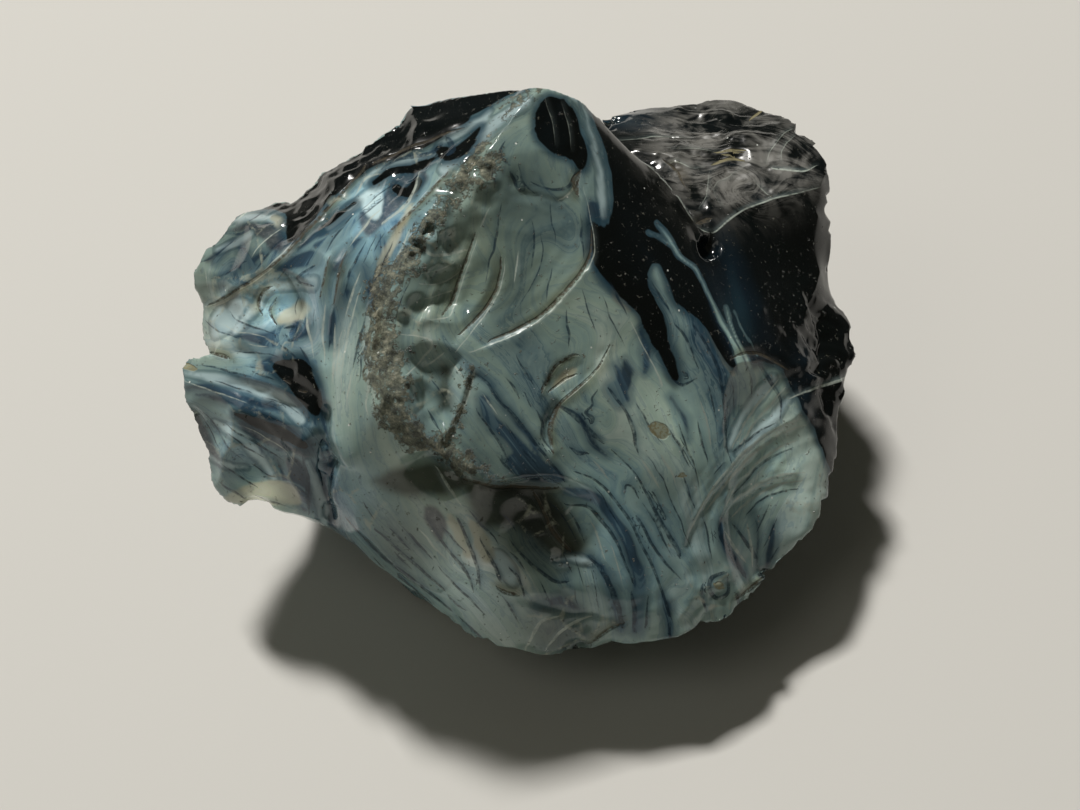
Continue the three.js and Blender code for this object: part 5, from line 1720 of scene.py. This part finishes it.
pressure = calc("MULTIPLY_ADD", between(grain(1.6, 3, 0.6), 0.34, 0.58), 0.6, 0.4)
ink_fade, pale_fade, brown_fade = parts_of("pen_shades")
ink_line, ink_shade, _ = pen("ink_pen", ink_fade, 0.14)
colour = tint(colour, times(ink_shade, 0.6), (0.26, 0.38, 0.50))
colour = blend(times(ink_line, pressure, 0.8), colour, (0.012, 0.028, 0.046))
pale_line, pale_shade, _ = pen("pale_pen", pale_fade, 0.14)
colour = blend(times(pale_shade, 0.35), colour, (0.36, 0.46, 0.46))
colour = blend(times(pale_line, pressure, 0.7), colour, (0.50, 0.56, 0.50))
# Dirt lies in the brown lines. On their left the glass is tinted brown and darker: partly stain, and inside
# the scar rims painted shade below the rim. Ochre spots leave none of it.
brown_line, stain_and_shade, brown_gap = pen("brown_pen", brown_fade, 0.2)
colour = tint(colour, times(stain_and_shade, rest_of(is_ochre), 0.8), (0.44, 0.36, 0.22))
patchy = calc("MULTIPLY_ADD", between(pits, 0.34, 0.6), 0.75, 0.2)
patchy = calc("MAXIMUM", patchy, times(is_ochre, 0.65))
dirt = blend(is_ochre, (0.050, 0.040, 0.022), (0.260, 0.230, 0.120))
colour = blend(times(brown_line, patchy), colour, dirt)
print(len(tree.nodes), "nodes so far")

# %% Worn rims, painted highlights on the rims, and the crust
in_black = between(black_depth, -1, 0.5)
# Pale rims on the glass: partly wear and small chips, partly painted highlight where proud edges and shell
# crests catch the light.
wear_and_highlight = times(between(edge_height, 1.6, 5.5), between(pits, 0.35, 0.6))
chipped = times(between(crest_amount, 0.25, 0.8), between(grain(2.2, 4, 0.65), 0.42, 0.62))
wear_and_highlight = times(calc("MAXIMUM", wear_and_highlight, chipped), rest_of(in_black))
colour = blend(times(wear_and_highlight, 0.5), colour, (0.42, 0.44, 0.35))
# On the black glass the grey rims are painted highlights, where the proud edges catch the light.
painted_rim_highlight = times(between(edge_height, 2.2, 6), between(pits, 0.4, 0.6), in_black)
colour = blend(times(painted_rim_highlight, 0.55), colour, (0.19, 0.18, 0.15))
crust_colour = scale_of_colours(grain(1.7, 5, 0.72), [
    (0.33, (0.016, 0.014, 0.008)), (0.43, (0.060, 0.055, 0.032)), (0.50, (0.130, 0.135, 0.092)),
    (0.57, (0.220, 0.215, 0.148)), (0.67, (0.420, 0.400, 0.300)),
])
broken_up = about_zero(grain(1.3, 4, 0.75), 1.9)
crust_mask = between(plus(calc("SUBTRACT", crust_amount, 0.52), broken_up), -0.05, 0.3)
colour = blend(times(crust_mask, 0.85), colour, crust_colour)
print(len(tree.nodes), "nodes so far")

# %% Pale specks: dust, and painted glints that sparkle
# They are the middles of small cells, and only some of the cells have one.
SPECK_CELLS = 420
SPECK_CHOICE = 0.83
speck = tree.nodes.new("ShaderNodeTexVoronoi")
put(speck.inputs["Vector"], object_place)
put(speck.inputs["Scale"], SPECK_CELLS)
chosen_cell = calc("GREATER_THAN", speck.outputs["Color"], SPECK_CHOICE)
dust_and_glint_specks = times(between(speck.outputs["Distance"], 0.12, 0.07), chosen_cell, 0.9)
colour = blend(dust_and_glint_specks, colour, (0.75, 0.78, 0.74))
put(shader.inputs["Base Color"], colour)
print(len(tree.nodes), "nodes so far")

# %% The gloss and the fine relief
# The glass is a wet gloss with faint smudges. Crust, dirt and the grey film with its painted sheen are
# duller.
GLASS_BENDS_LIGHT = 1.52
smudges = between(grain(9, 3, 0.6), 0.35, 0.75)
roughness = calc("MULTIPLY_ADD", smudges, 0.10, 0.10)
roughness = plus(roughness, times(calc("MAXIMUM", crust_mask, brown_line), 0.5))
roughness = plus(roughness, times(between(brown_gap, 1.8, 0.4), 0.22))
roughness = plus(roughness, times(sheen_and_film, 0.25), clamp=True)
put(shader.inputs["Roughness"], roughness)
put(shader.inputs["IOR"], GLASS_BENDS_LIGHT)

relief = plus(times(grain(6, 2), 0.10), times(fine, 0.012), times(grain(0.7, 5, 0.75), crust_mask, 0.5))
relief = calc("SUBTRACT", relief, times(brown_line, 0.12))
bump = tree.nodes.new("ShaderNodeBump")
put(bump.inputs["Distance"], 1 * MM)
put(bump.inputs["Height"], relief)
put(shader.inputs["Normal"], bump.outputs["Normal"])

lump.data.materials.clear()
lump.data.materials.append(glass)
print("finish of", len(tree.nodes), "nodes")

# %% [markdown]
# ## Into the frame
# The lump is one stone. It could be split where its colours meet, but it broke off as one, so it rides
# on the one body there is and stands for the plain solid.

# %% Place it in the frame
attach(lump, "root")
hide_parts("glass_lump")
